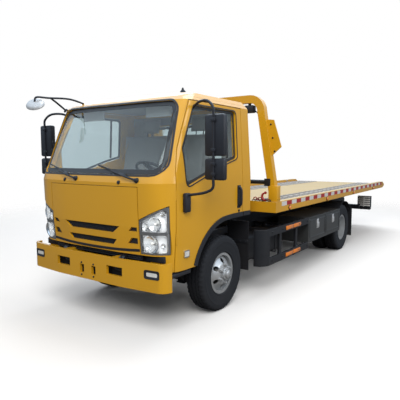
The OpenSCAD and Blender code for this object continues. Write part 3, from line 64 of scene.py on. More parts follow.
def sums(tree, operation, first, second=0.0, clamp=False):
    """One arithmetic step on two values."""
    return add(tree, "Math", {0: first, 1: second}, operation=operation, use_clamp=clamp).outputs[0]


def tint(tree, mask, under, over):
    """One colour laid over another by a mask."""
    return add(tree, "Mix", {0: mask, 6: under, 7: over}, data_type="RGBA").outputs[2]


def effect(name, inputs, outputs):
    """An empty shader group, with its value sockets."""
    tree = bpy.data.node_groups.new(name, "ShaderNodeTree")
    for label, value in inputs.items():
        socket = tree.interface.new_socket(label, in_out="INPUT", socket_type="NodeSocketFloat")
        socket.default_value = value
    for label in outputs:
        tree.interface.new_socket(label, in_out="OUTPUT", socket_type="NodeSocketFloat")
    return tree, tree.nodes.new("NodeGroupInput").outputs, tree.nodes.new("NodeGroupOutput").inputs


def use(tree, group, **values):
    """Places a shader group in a material, with its own values."""
    new = tree.nodes.new("ShaderNodeGroup")
    new.node_tree = group
    for label, value in values.items():
        new.inputs[label.replace("_", " ")].default_value = value
    return new.outputs


grain_group, wanted, given = effect("surface_grain", {"Scale": 300.0, "Patch scale": 5.0}, ("Height", "Patches"))
spot = add(grain_group, "TexCoord").outputs["Object"]
fine = add(grain_group, "TexNoise", {"Vector": spot, "Scale": wanted["Scale"], "Detail": 2.0})
wide = add(grain_group, "TexNoise", {"Vector": spot, "Scale": wanted["Patch scale"], "Detail": 5.0})
grain_group.links.new(fine.outputs[0], given["Height"])
grain_group.links.new(wide.outputs[0], given["Patches"])

dust_group, wanted, given = effect("road_dust", {"Amount": 0.5, "Top": 1.0}, ("Mask",))
spot = add(dust_group, "TexCoord").outputs["Object"]
height = add(dust_group, "SeparateXYZ", {0: spot}).outputs[2]
low = sums(dust_group, "SUBTRACT", 1.0, sums(dust_group, "DIVIDE", height, wanted["Top"]), clamp=True)
cloud = add(dust_group, "TexNoise", {"Vector": spot, "Scale": 4.5, "Detail": 7.0, "Roughness": 0.65}).outputs[0]
cloud = sums(dust_group, "MULTIPLY", sums(dust_group, "SUBTRACT", cloud, 0.28), 2.0, clamp=True)
settled = sums(dust_group, "MULTIPLY", sums(dust_group, "MULTIPLY", low, cloud), wanted["Amount"], clamp=True)
dust_group.links.new(settled, given["Mask"])

wear_group, wanted, given = effect("edge_wear", {"Width": 0.004, "Amount": 0.5}, ("Mask",))
spot = add(wear_group, "TexCoord").outputs["Object"]
rounded_normal = add(wear_group, "Bevel", {"Radius": wanted["Width"]}, samples=4).outputs[0]
true_normal = add(wear_group, "NewGeometry").outputs["Normal"]
facing = add(wear_group, "VectorMath", {0: rounded_normal, 1: true_normal},
             operation="DOT_PRODUCT").outputs["Value"]
edge = sums(wear_group, "MULTIPLY", sums(wear_group, "SUBTRACT", 1.0, facing), 9.0, clamp=True)
chips = add(wear_group, "TexNoise", {"Vector": spot, "Scale": 38.0, "Detail": 6.0, "Roughness": 0.7}).outputs[0]
chipped = sums(wear_group, "SUBTRACT", sums(wear_group, "ADD", edge, chips), 1.12)
chipped = sums(wear_group, "MULTIPLY", sums(wear_group, "MULTIPLY", chipped, 5.0, clamp=True), wanted["Amount"])
wear_group.links.new(chipped, given["Mask"])

ROAD_DUST = (0.20, 0.175, 0.14, 1.0)


def finish(name, colour, rough, metallic=0.0, coat=0.0, coat_rough=0.04, grain=300.0, bump=0.1, patch=0.05,
           patch_scale=5.0, dust=0.0, dust_top=1.0, wear=0.0, bare=(0.30, 0.29, 0.28), soft_edge=0.004, tone=0.08,
           shine=0.5, painted_top_light=None):
    """A surface finish: colour with broad patches, rubbed edges, road dust, fine grain and soft edges.

    painted_top_light is a paler colour on upward faces: painted light standing in for light on the tops."""
    made = bpy.data.materials.new(name)
    made.use_nodes = True
    tree = made.node_tree
    shader = tree.nodes["Principled BSDF"]
    surface = use(tree, grain_group, Scale=grain, Patch_scale=patch_scale)
    shade = [tuple(c * k for c in colour) + (1.0,) for k in (1.0 - tone, 1.0 + tone)]
    base = tint(tree, surface["Patches"], *shade)
    # Upward faces are painted paler here: painted light standing in for light on the tops.
    if painted_top_light:
        facing = add(tree, "SeparateXYZ", {0: add(tree, "NewGeometry").outputs["Normal"]}).outputs[2]
        top_light_mask = add(tree, "MapRange", {0: facing, 1: 0.75, 2: 0.97, 3: 0.0, 4: 1.0}).outputs[0]
        base = tint(tree, top_light_mask, base, (*painted_top_light, 1.0))
    if wear:
        base = tint(tree, use(tree, wear_group, Width=soft_edge * 1.2, Amount=wear)["Mask"], base, (*bare, 1.0))
    uneven = sums(tree, "MULTIPLY_ADD", surface["Patches"], patch * 2.0)
    uneven.node.inputs[2].default_value = rough - patch
    if dust:
        settled = use(tree, dust_group, Amount=dust, Top=dust_top)["Mask"]
        base = tint(tree, settled, base, ROAD_DUST)
        uneven = sums(tree, "ADD", uneven, sums(tree, "MULTIPLY", settled, 0.35), clamp=True)
    tree.links.new(base, shader.inputs["Base Color"])
    tree.links.new(uneven, shader.inputs["Roughness"])
    relief = add(tree, "Bump", {"Strength": bump, "Distance": 0.0006, "Height": surface["Height"]})
    if soft_edge:
        tree.links.new(add(tree, "Bevel", {"Radius": soft_edge}, samples=4).outputs[0], relief.inputs["Normal"])
    tree.links.new(relief.outputs[0], shader.inputs["Normal"])
    shader.inputs["Metallic"].default_value = metallic
    shader.inputs["Specular IOR Level"].default_value = shine
    shader.inputs["Coat Weight"].default_value = coat
    shader.inputs["Coat Roughness"].default_value = coat_rough
    return made


smooth_group = bpy.data.node_groups.new("smooth_curves", "GeometryNodeTree")
for way in ("INPUT", "OUTPUT"):
    smooth_group.interface.new_socket("Geometry", in_out=way, socket_type="NodeSocketGeometry")
steps = [smooth_group.nodes.new(kind) for kind in (
    "NodeGroupInput", "GeometryNodeRemoveAttribute", "GeometryNodeSetShadeSmooth", "NodeGroupOutput")]
steps[1].inputs["Name"].default_value = "custom_normal"
for one, two in zip(steps, steps[1:]):
    smooth_group.links.new(one.outputs[0], two.inputs[0])


def dress(material, *names, crease=30):
    """Gives CAD pieces their finish, with smooth curves and crisp corners."""
    for name in names:
        held = nodes[name]
        held.data.materials.clear()
        held.data.materials.append(material)
        held.modifiers.new("weld", "WELD").merge_threshold = 1e-5
        held.modifiers.new("smooth", "NODES").node_group = smooth_group
        corner = held.modifiers.new("crease", "EDGE_SPLIT")
        corner.split_angle = math.radians(crease)
        corner.use_edge_sharp = False
        held.modifiers.new("flat_faces", "WEIGHTED_NORMAL").weight = 80


def piece(shape, name, material, body, crease=35):
    """Turns a built shape into a piece that rides on a body."""
    bmesh.ops.recalc_face_normals(shape, faces=shape.faces)
    mesh = bpy.data.meshes.new(name)
    shape.to_mesh(mesh)
    shape.free()
    mesh.materials.append(material)
    mesh.polygons.foreach_set("use_smooth", [True] * len(mesh.polygons))
    mesh.set_sharp_from_angle(angle=math.radians(crease))
    made = bpy.data.objects.new(name, mesh)
    bpy.context.scene.collection.objects.link(made)
    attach(made, body)
    return made


def bar(shape, start, end, radius, sides=16, tip=None):
    """A round bar between two places; tip is its radius at the end."""
    start, end = Vector(start), Vector(end)
    along = end - start
    turn = along.to_track_quat("Z", "Y").to_matrix().to_4x4()
    bmesh.ops.create_cone(shape, cap_ends=True, segments=sides, radius1=radius,
                          radius2=radius if tip is None else tip, depth=along.length,
                          matrix=Matrix.Translation((start + end) / 2) @ turn)


def hex_bolt(shape, place, way, size=0.012):
    """A hexagon head on its washer, facing one way."""
    way = Vector(way).normalized()
    bar(shape, place, place + way * size * 0.25, size * 1.15, 14)
    bar(shape, place + way * size * 0.25, place + way * size * 0.95, size * 0.85, 6, size * 0.8)


frame_black = finish("frame_black", (0.010, 0.011, 0.014), 0.46, coat=0.05, grain=180.0, bump=0.25, dust=0.07,
                     dust_top=0.9, wear=0.30, bare=(0.06, 0.06, 0.06), shine=0.35)
dress(frame_black, "chassis_frame")
RAIL_X = 0.375
bolts = bmesh.new()
for y in (-0.62, 0.05, 0.92, 1.60, 2.18, 2.80, 3.47, 4.36, 4.95, 5.62):
    for side in (1, -1):
        for z in (0.585, 0.640, 0.695):
            hex_bolt(bolts, at(side * RAIL_X, y, z), (side, 0, 0), 0.013)
piece(bolts, "rail_bolts", frame_black, "chassis")

# Exhaust and air tanks: a rolled steel silencer with its pipe, and two welded air reservoirs strapped
# between the rails. They are bare or black steel, dull and dusty.
dull_steel = finish("dull_steel", (0.10, 0.095, 0.09), 0.55, metallic=0.75, grain=120.0, bump=0.3, dust=0.7,
                    dust_top=1.0, tone=0.25, soft_edge=0.0)


def turned(shape, profile, centre, axis, sides=48):
    """Turns (radius, along) points about an axis through a centre, and closes the shape."""
    axis = Vector(axis).normalized()
    side = axis.orthogonal().normalized()
    other = axis.cross(side)
    steps = [(math.cos(math.tau * k / sides), math.sin(math.tau * k / sides)) for k in range(sides)]
    rings = []
    for radius, along in profile:
        middle = centre + axis * along
        if radius < 1e-6:
            rings.append([shape.verts.new(middle)])
        else:
            rings.append([shape.verts.new(middle + (side * c + other * s) * radius) for c, s in steps])
    open_ends = [ring for ring in (rings[0], rings[-1]) if len(ring) > 1]
    if len(open_ends) == 2 and len(rings) > 2:
        rings.append(rings[0])
    else:
        for ring in open_ends:
            shape.faces.new(ring)
    for one, two in zip(rings, rings[1:]):
        for k in range(sides):
            ends = (one[k % len(one)], one[(k + 1) % len(one)], two[(k + 1) % len(two)], two[k % len(two)])
            corners = list(dict.fromkeys(ends))
            if len(corners) > 2:
                shape.faces.new(corners)


def tube(shape, points, radius, sides=10, closed=False):
    """A bent round bar through the points."""
    points = [Vector(p) for p in points]
    count = len(points)
    rings = []
    side = None
    for i, p in enumerate(points):
        before = points[i - 1] if i or closed else p
        after = points[(i + 1) % count] if i < count - 1 or closed else p
        along = (after - before).normalized()
        side = along.orthogonal() if side is None else side - along * side.dot(along)
        side.normalize()
        other = along.cross(side)
        size = radius[i] if isinstance(radius, (list, tuple)) else radius
        rings.append([shape.verts.new(p + (side * math.cos(a) + other * math.sin(a)) * size)
                      for a in (math.tau * k / sides for k in range(sides))])
    pairs = list(zip(rings, rings[1:])) + ([(rings[-1], rings[0])] if closed else [])
    for one, two in pairs:
        for k in range(sides):
            shape.faces.new((one[k], one[(k + 1) % sides], two[(k + 1) % sides], two[k]))
    if not closed:
        shape.faces.new(rings[0])
        shape.faces.new(rings[-1])


def smooth_line(points, steps=6):
    """A curve through the points, as a list of places."""
    points = [Vector(p) for p in points]
    ends = [points[0] * 2 - points[1]] + points + [points[-1] * 2 - points[-2]]
    line = []
    for a, b, c, d in zip(ends, ends[1:], ends[2:], ends[3:]):
        for k in range(steps):
            t = k / steps
            line.append((b * 2 + (c - a) * t + (a * 2 - b * 5 + c * 4 - d) * t ** 2
                         + (b * 3 - a - c * 3 + d) * t ** 3) / 2)
    return line + [points[-1]]


hung = bmesh.new()
turned(hung, [(0.0, 0.0), (0.06, 0.0), (0.088, 0.02), (0.088, 0.58), (0.06, 0.60), (0.0, 0.60)],
       at(-0.19, 0.95, 0.46), (0, 1, 0), 32)
tube(hung, smooth_line([at(-0.20, 0.45, 0.50), at(-0.20, 0.70, 0.48), at(-0.19, 0.96, 0.46)]), 0.032)
tube(hung, smooth_line([at(-0.19, 1.54, 0.46), at(-0.20, 1.85, 0.44), at(-0.24, 2.10, 0.40)]), 0.030)
for x in (0.17, -0.17):
    turned(hung, [(0.0, 0.0), (0.05, 0.006), (0.085, 0.03), (0.09, 0.06), (0.09, 0.44), (0.085, 0.47),
                  (0.05, 0.494), (0.0, 0.50)], at(x, 4.42, 0.60), (0, 1, 0), 32)
piece(hung, "exhaust_and_air_tanks", dull_steel, "chassis")

# Axles, springs and drive line: forged beam, cast casing, leaf packs held by U-bolts, a welded tube
# shaft, and the plain engine block. All are cast iron or black steel with road dirt on them.
cast_dark = finish("cast_dark", (0.040, 0.040, 0.041), 0.62, metallic=0.35, grain=90.0, bump=0.45, dust=0.35,
                   dust_top=1.1, wear=0.3, tone=0.15)
dress(cast_dark, "front_axle", "rear_axle", "engine", "knuckle_left", "knuckle_right", "drive_shaft")
dress(frame_black, "leaf_springs", "fuel_tank", "battery_box")


def block(shape, low, high, soft=0.003):
    """A bar or plate with broken edges, between two corners."""
    low, high = Vector(low), Vector(high)
    corners = bmesh.ops.create_cube(shape, size=1.0)["verts"]
    for v in corners:
        v.co = Vector([low[i] + (v.co[i] + 0.5) * (high[i] - low[i]) for i in range(3)])
    if soft:
        edges = list(dict.fromkeys(e for v in corners for e in v.link_edges))
        soft = min(soft, 0.3 * min(abs(s) for s in high - low))
        bmesh.ops.bevel(shape, geom=edges, offset=soft, segments=2, profile=0.5, affect="EDGES")


def flank(shape, side, near, far, soft=0.003):
    """A block on one side of the lorry; its two corners are given for the left side."""
    low, high = sorted((side * near[0], side * far[0]))
    block(shape, at(low, *near[1:]), at(high, *far[1:]), soft)


AXLE_Z = 0.4025
REAR_AXLE_Y = 3.815
SPRING_X, DAMPER_X = 0.338, 0.285
clamps = bmesh.new()
for y, low, top in ((0.0, 0.225, 0.395), (REAR_AXLE_Y, 0.325, 0.520)):
    for side in (1, -1):
        for dy in (-0.058, 0.058):
            u_bolt = ((-0.040, low), (-0.040, top), (-0.032, top + 0.012), (0.032, top + 0.012), (0.040, top),
                      (0.040, low))
            tube(clamps, [at(side * (SPRING_X + dx), y + dy, z) for dx, z in u_bolt], 0.009, 8)
        flank(clamps, side, (SPRING_X - 0.05, y - 0.085, low + 0.004), (SPRING_X + 0.05, y + 0.085, low + 0.02))
for side in (1, -1):
    for y, low, top in ((-0.22, 0.30, 0.66), (3.55, 0.36, 0.70)):
        foot, middle, head = (at(side * DAMPER_X, y, z) for z in (low, (low + top) / 2, top))
        bar(clamps, foot, middle, 0.030, 18)
        bar(clamps, middle, head, 0.036, 18)
piece(clamps, "spring_clamps", frame_black, "chassis")
straps = bmesh.new()
for y in (0.95, 1.50):
    block(straps, at(0.372, y, 0.348), at(0.742, y + 0.04, 0.3555), 0.001)
    block(straps, at(0.735, y, 0.35), at(0.742, y + 0.04, 0.69), 0.001)
turned(straps, [(0.0, 0.03), (0.045, 0.03), (0.05, 0.02), (0.05, 0.0), (0.0, 0.0)], at(0.55, 1.60, 0.685),
       (0, 0, 1), 24)
for k in range(5):
    block(straps, at(-0.712, 0.80 + k * 0.11, 0.42), at(-0.705, 0.87 + k * 0.11, 0.66), 0.003)
piece(straps, "tank_straps", frame_black, "chassis")

# Wheels: pressed steel discs in rolled rims, sprayed silver, with nuts round a hub cap. The dark cast
# brake drums show through the hand holes of the front ones.
wheel_silver = finish("wheel_silver", (0.44, 0.45, 0.46), 0.38, metallic=0.55, coat=0.2, coat_rough=0.2,
                      grain=260.0, bump=0.12, dust=0.35, dust_top=0.9, wear=0.25, bare=(0.20, 0.19, 0.18))
for name in ("rim_front_left", "rim_front_right", "rims_rear_left", "rims_rear_right"):
    dress(wheel_silver, name, crease=34)
SIDES = ((1, "left"), (-1, "right"))
FRONT_HUB = ((0.0, 0.932), (0.030, 0.930), (0.042, 0.922), (0.045, 0.905), (0.062, 0.900), (0.066, 0.893),
             (0.066, 0.868))
REAR_HUB = ((0.0, 0.842), (0.044, 0.840), (0.056, 0.832), (0.058, 0.800), (0.076, 0.796), (0.080, 0.790),
            (0.080, 0.735))
# Rings of six: radius, sixths of a turn, then bars as start, end, radius, sides and the radius of the tip
FRONT_RINGS = ((0.094, 0.5, ((0.865, 0.876, 0.019, 18), (0.876, 0.894, 0.0155, 6, 0.0145),
                             (0.894, 0.902, 0.009, 10))),
               (0.054, 1.0, ((0.898, 0.908, 0.007, 6),)))
REAR_RINGS = ((0.103, 0.5, ((0.722, 0.736, 0.019, 18), (0.736, 0.758, 0.0155, 6, 0.0145))),
              (0.067, 1.0, ((0.795, 0.804, 0.006, 6),)))
for side, word in SIDES:
    out = Vector((side, 0, 0))
    for name, body, y, cap, rings in (("hub_front_", "wheel_front_", 0.0, FRONT_HUB, FRONT_RINGS),
                                      ("hub_rear_", "wheels_rear_", REAR_AXLE_Y, REAR_HUB, REAR_RINGS)):
        hub = bmesh.new()
        centre = at(0, y, AXLE_Z)
        turned(hub, cap, centre, out, 36)
        for radius, first, bars in rings:
            for k in range(6):
                a = math.tau * (k + first) / 6
                spot = centre + Vector((0, math.cos(a), math.sin(a))) * radius
                for start, end, *size in bars:
                    bar(hub, spot + out * start, spot + out * end, *size)
        piece(hub, name + word, wheel_silver, body + word)
    centre = at(0, 0, AXLE_Z)
    drum = bmesh.new()
    turned(drum, [(0.03, 0.741), (0.160, 0.741), (0.166, 0.746), (0.166, 0.788), (0.150, 0.795), (0.03, 0.797)],
           centre, out, 48)
    piece(drum, "brake_drum_front_" + word, cast_dark, "wheel_front_" + word)
    plate = bmesh.new()
    turned(plate, [(0.045, 0.7325), (0.155, 0.7325), (0.160, 0.730), (0.160, 0.7375), (0.045, 0.7375)],
           centre, out, 40)
    piece(plate, "brake_plate_" + word, cast_dark, "knuckle_" + word)

# Tyres: steel-belted road tyres with four zigzag grooves, notched shoulders and ribbed side walls,
# pressed on to the rims. The rubber is grey-black and dusty.
tyre_rubber = finish("tyre_rubber", (0.011, 0.012, 0.015), 0.74, grain=220.0, bump=0.35, dust=0.05, dust_top=1.2,
                     tone=0.18, soft_edge=0.0, shine=0.3)
TREAD_STEPS = 192
# Columns: across, radius, sway of the zigzag, notched or not
tyre_side = [(0.0810, 0.2036, 0, 0), (0.0810, 0.2196, 0, 0), (0.0895, 0.2196, 0, 0), (0.0955, 0.2235, 0, 0),
             (0.1025, 0.2310, 0, 0), (0.1030, 0.2370, 0, 0), (0.1012, 0.2410, 0, 0), (0.1045, 0.2620, 0, 0),
             (0.1075, 0.3030, 0, 0), (0.1060, 0.3280, 0, 0), (0.1068, 0.3300, 0, 0), (0.1066, 0.3350, 0, 0),
             (0.1050, 0.3370, 0, 0), (0.1035, 0.3520, 0, 0), (0.1010, 0.3660, 0, 0), (0.0985, 0.3770, 0, 1),
             (0.0940, 0.3880, 0, 1), (0.0860, 0.3965, 0, 1), (0.0740, 0.4005, 0, 1), (0.0650, 0.4012, 1, 0),
             (0.0636, 0.3925, 1, 0), (0.0554, 0.3925, 1, 0), (0.0540, 0.4020, 1, 0), (0.0300, 0.4025, -1, 0),
             (0.0285, 0.3920, -1, 0), (0.0175, 0.3920, -1, 0), (0.0160, 0.4025, -1, 0)]
section = tyre_side + [(-x, r, s, n) for x, r, s, n in reversed(tyre_side)]
tyre_points = []
for k in range(TREAD_STEPS):
    a = math.tau * k / TREAD_STEPS
    zigzag = (0, 1, 0, -1)[k % 4] * 0.0035
    for x, r, sway, notch in section:
        r -= 0.0065 if notch and k % 4 in (1, 2) and r > 0.38 else 0.0
        tyre_points.append((x + sway * zigzag, r * math.cos(a), r * math.sin(a)))
across = len(section)
tyre_faces = [(k * across + i, k * across + (i + 1) % across, (k + 1) % TREAD_STEPS * across + (i + 1) % across,
               (k + 1) % TREAD_STEPS * across + i) for k in range(TREAD_STEPS) for i in range(across)]
for side, word in SIDES:
    for name, node, body, y, xs in (
            ("road_tyre_front_", "tyre_front_", "wheel_front_", 0.0, (0.752,)),
            ("road_tyres_rear_", "tyres_rear_", "wheels_rear_", REAR_AXLE_Y, (0.5875, 0.8375))):
        mesh = bpy.data.meshes.new(name + word)
        places = [at(side * x, y, AXLE_Z) for x in xs]
        mesh.from_pydata([Vector(p) + place for place in places for p in tyre_points], [],
                         [tuple(v + len(tyre_points) * j for v in f) for j in range(len(xs)) for f in tyre_faces])
        shape = bmesh.new()
        shape.from_mesh(mesh)
        bpy.data.meshes.remove(mesh)
        made = piece(shape, name + word, tyre_rubber, body + word, crease=32)
        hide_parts(node + word)

# Front bumper: one pressed steel shell in body colour with two towing openings, fog lamps in its
# corners and four bolts at its middle. It is gloss enamel, rubbed along its edges.
CAB_YELLOW = (0.570, 0.292, 0.009)
cab_paint = finish("cab_paint", CAB_YELLOW, 0.36, coat=0.55, coat_rough=0.06, grain=700.0, bump=0.035, patch=0.03,
                   patch_scale=1.6, dust=0.06, dust_top=0.9, wear=0.20, bare=(0.30, 0.16, 0.02), tone=0.035,
                   shine=0.4)
dress(cab_paint, "front_bumper")
black_plastic = finish("black_plastic", (0.013, 0.014, 0.018), 0.50, grain=900.0, bump=0.30, dust=0.06,
                       dust_top=1.0, tone=0.1, soft_edge=0.003, shine=0.4)


def skin_of(*names):
    """A search tree over the faces of CAD pieces, to lay trim on them."""
    corners, faces = [], []
    for name in names:
        first = len(corners)
        corners += [v.co.copy() for v in nodes[name].data.vertices]
        faces += [[first + i for i in p.vertices] for p in nodes[name].data.polygons]
    return BVHTree.FromPolygons(corners, faces)


VIEWS = {"front": (Vector((0, 1, 0)), lambda u, v: at(u, -3.0, v)),
         "left": (Vector((-1, 0, 0)), lambda u, v: at(3.0, u, v)),
         "right": (Vector((1, 0, 0)), lambda u, v: at(-3.0, u, v)),
         "rear": (Vector((0, -1, 0)), lambda u, v: at(u, 9.0, v))}


def touch(skin, view, u, v):
    """Where a line of sight meets the skin, and which way that spot faces."""
    way, start = VIEWS[view]
    hit, normal, *_ = skin.ray_cast(start(u, v), way)
    if hit is None:
        raise ValueError("nothing is met at %s %.3f %.3f" % (view, u, v))
    return hit, normal if normal.dot(way) < 0 else -normal


def sheet(shape, rows, lift, sink=0.002, loop=False):
    """A thin sheet laid on a grid of (place, normal) spots; loop closes it along the rows."""
    tops = [[shape.verts.new(p + n * lift) for p, n in row] for row in rows]
    backs = [[shape.verts.new(p - n * sink) for p, n in row] for row in rows]
    last = len(rows) - (0 if loop else 1)
    wide = len(rows[0]) - 1
    for j in range(last):
        k = (j + 1) % len(rows)
        for i in range(wide):
            shape.faces.new((tops[j][i], tops[j][i + 1], tops[k][i + 1], tops[k][i]))
            shape.faces.new((backs[j][i], backs[k][i], backs[k][i + 1], backs[j][i + 1]))
        for i in (0, wide):
            shape.faces.new((tops[j][i], tops[k][i], backs[k][i], backs[j][i]))
    if not loop:
        for j in (0, last):
            for i in range(wide):
                shape.faces.new((tops[j][i], tops[j][i + 1], backs[j][i + 1], backs[j][i]))


def patch(skin, view, corners, wide=6, tall=4):
    """A grid of spots inside four corners, as seen from one side."""
    a, b, c, d = (Vector((*p, 0.0)) for p in corners)
    rows = []
    for j in range(tall + 1):
        left, right = a.lerp(d, j / tall), b.lerp(c, j / tall)
        rows.append([touch(skin, view, *left.lerp(right, i / wide)[:2]) for i in range(wide + 1)])
    return rows


def grown(points, by):
    """A closed outline moved outwards by a distance."""
    points = [Vector(p) for p in points]
    area = sum(a.cross(b) for a, b in zip(points, points[1:] + points[:1]))
    lines = []
    for a, b in zip(points, points[1:] + points[:1]):
        way = (b - a).normalized()
        off = Vector((way.y, -way.x)) * (by if area > 0 else -by)
        lines.append((a + off, way))
    made = []
    for (p, v), (q, w) in zip(lines[-1:] + lines[:-1], lines):
        turn = v.cross(w)
        made.append(p + v * ((q - p).cross(w) / turn) if abs(turn) > 1e-6 else q)
    return made


def rounded(points, radius, steps=5):
    """A closed outline with its corners rounded to a radius."""
    points = [Vector(p) for p in points]
    line = []
    for before, p, after in zip(points[-1:] + points[:-1], points, points[1:] + points[:1]):
        u, v = (before - p).normalized(), (after - p).normalized()
        half = u.angle(v) / 2
        centre = p + (u + v).normalized() * radius / math.sin(half)
        a, b = p + u * radius / math.tan(half) - centre, p + v * radius / math.tan(half) - centre
        start, turn = math.atan2(a.y, a.x), math.atan2(a.cross(b), a.dot(b))
        line += [centre + Vector((math.cos(start + turn * k / steps), math.sin(start + turn * k / steps))) * radius
                 for k in range(steps + 1)]
    return line


def band(shape, skin, view, outside, inside, lift, radii=(0.02, 0.02), span=0.12, sink=0.002):
    """A closed flat band between two outlines with the same corners."""
    outer, inner = rounded(outside, radii[0]), rounded(inside, radii[1])
    rows = []
    for i in range(len(outer)):
        j = (i + 1) % len(outer)
        steps = max(1, math.ceil((outer[j] - outer[i]).length / span))
        for k in range(steps):
            ends = outer[i].lerp(outer[j], k / steps), inner[i].lerp(inner[j], k / steps)
            rows.append([touch(skin, view, *p) for p in ends])
    sheet(shape, rows, lift, sink, loop=True)


bumper_skin = skin_of("front_bumper", "chassis_lamps")
FOG = ((0.722, 0.584), (0.858, 0.584), (0.858, 0.640), (0.722, 0.640))
frames, lenses = bmesh.new(), bmesh.new()
for side in (1, -1):
    outline = [(side * x, z) for x, z in FOG]
    band(frames, bumper_skin, "front", grown(outline, 0.012), grown(outline, -0.010), 0.004, (0.018, 0.012))
    small = grown(outline, -0.008)
    sheet(lenses, patch(bumper_skin, "front", small), 0.003, 0.0)
for x in (0.085, -0.085):
    for z in (0.492, 0.612):
        place, normal = touch(bumper_skin, "front", x, z)
        hex_bolt(frames, place, normal, 0.008)
piece(frames, "fog_lamp_frames", black_plastic, "chassis")
lamp_white = finish("lamp_white", (0.62, 0.62, 0.60), 0.12, coat=1.0, coat_rough=0.02, grain=60.0, bump=0.5,
                    tone=0.2, patch_scale=40.0, soft_edge=0.0)
piece(lenses, "fog_lamp_lenses", lamp_white, "chassis")
dress(black_plastic, "chassis_lamps")

# Tail lamps: black moulded housings on arms behind the rear wheels, with red, amber and clear lenses
# clipped into their rear faces and a ribbed guard of pale steel bolted on the front.
red_lens = finish("red_lens", (0.35, 0.008, 0.006), 0.14, coat=1.0, coat_rough=0.03, grain=90.0, bump=0.4, tone=0.1,
                  soft_edge=0.003)
amber_lens = finish("amber_lens", (0.72, 0.20, 0.012), 0.16, coat=1.0, coat_rough=0.03, grain=90.0, bump=0.4,
                    tone=0.1, soft_edge=0.003)
for word, material, low, high in (("red", red_lens, 0.648, 0.735), ("amber", amber_lens, 0.740, 0.820),
                                  ("clear", lamp_white, 0.825, 0.902)):
    shape = bmesh.new()
    for side in (1, -1):
        flank(shape, side, (low, 5.945, 0.572), (high, 5.962, 0.772), 0.006)
        for k in range(9):
            z = 0.585 + k * 0.021
            flank(shape, side, (low + 0.006, 5.960, z), (high - 0.006, 5.965, z + 0.012), 0.002)
    piece(shape, "tail_lens_" + word, material, "chassis")
galvanised = finish("galvanised", (0.46, 0.47, 0.48), 0.42, metallic=0.40, grain=70.0, bump=0.25, patch=0.08,
                    patch_scale=24.0, dust=0.15, dust_top=1.4, tone=0.16)
ribs = bmesh.new()
for side in (1, -1):
    for k in range(5):
        z = 0.580 + k * 0.044
        flank(ribs, side, (0.645, 5.846, z), (0.905, 5.859, z + 0.030), 0.004)
    flank(ribs, side, (0.763, 5.842, 0.565), (0.787, 5.852, 0.785))
guard_steel = finish("guard_steel", (0.64, 0.63, 0.60), 0.50, metallic=0.10, grain=70.0, bump=0.25, patch=0.08,
                     patch_scale=24.0, tone=0.12)
piece(ribs, "tail_lamp_guards", guard_steel, "chassis")

# Side guards, toolboxes and mudguards: black steel rails on posts with amber reflectors, dark grey
# sheet boxes with drop doors and paddle latches, and bent sheets with rubber flaps.
box_grey = finish("box_grey", (0.030, 0.032, 0.033), 0.42, coat=0.15, coat_rough=0.15, grain=160.0, bump=0.2,
                  dust=0.08, dust_top=0.95, wear=0.3, bare=(0.08, 0.08, 0.08))
guard_rubber = finish("guard_rubber", (0.012, 0.012, 0.014), 0.70, grain=240.0, bump=0.35, dust=0.10, dust_top=0.9,
                      tone=0.15, shine=0.3)
dress(frame_black, "side_guards")
dress(box_grey, "toolboxes")
dress(guard_rubber, "rear_mudguards")
SIDE_X = 1.040
reflectors, screws = bmesh.new(), bmesh.new()
for side in (1, -1):
    for z in (0.722, 0.380):
        for y in (1.19, 1.43):
            flank(reflectors, side, (SIDE_X - 0.002, y, z), (SIDE_X + 0.007, y + 0.225, z + 0.048), 0.004)
    for y in (0.80, 1.09, 1.60, 1.90):
        for z in (0.748, 0.402):
            hex_bolt(screws, at(side * SIDE_X, y, z), (side, 0, 0), 0.010)
piece(reflectors, "guard_reflectors", amber_lens, "chassis")
piece(screws, "guard_bolts", frame_black, "chassis")
BOX_DOOR_Y = (1.975, 2.651)
BOX_DOOR_LEN = 0.664
for side, word in SIDES:
    for first, part in zip(BOX_DOOR_Y, ("front", "rear")):
        body = "box_door_%s_%s" % (part, word)
        dress(box_grey, body)
        latch, press = bmesh.new(), bmesh.new()
        y = first + BOX_DOOR_LEN * 0.5
        flank(latch, side, (SIDE_X - 0.001, y - 0.036, 0.600), (SIDE_X + 0.006, y + 0.036, 0.735), 0.006)
        flank(latch, side, (SIDE_X + 0.004, y - 0.024, 0.612), (SIDE_X + 0.020, y + 0.024, 0.690), 0.007)
        bar(latch, at(side * (SIDE_X + 0.004), y, 0.712), at(side * (SIDE_X + 0.011), y, 0.712), 0.011, 18)
        piece(latch, "box_latch_%s_%s" % (part, word), galvanised, body)
        y0, y1, z0, z1 = first + 0.03, first + BOX_DOOR_LEN - 0.03, 0.495, 0.735
        for ya, za, yb, zb in ((y0, z0, y1, z0), (y0, z1, y1, z1), (y0, z0, y0, z1), (y1, z0, y1, z1)):
            flank(press, side, (SIDE_X - 0.001, ya - 0.006, za - 0.006), (SIDE_X + 0.005, yb + 0.006, zb + 0.006))
        piece(press, "box_door_rib_%s_%s" % (part, word), box_grey, body)
flap_ribs = bmesh.new()
for side in (1, -1):
    for k in range(7):
        x = 0.52 + k * 0.065
        flank(flap_ribs, side, (x - 0.008, 4.269, 0.21), (x + 0.008, 4.274, 0.60), 0.002)
piece(flap_ribs, "flap_ribs", guard_rubber, "chassis")

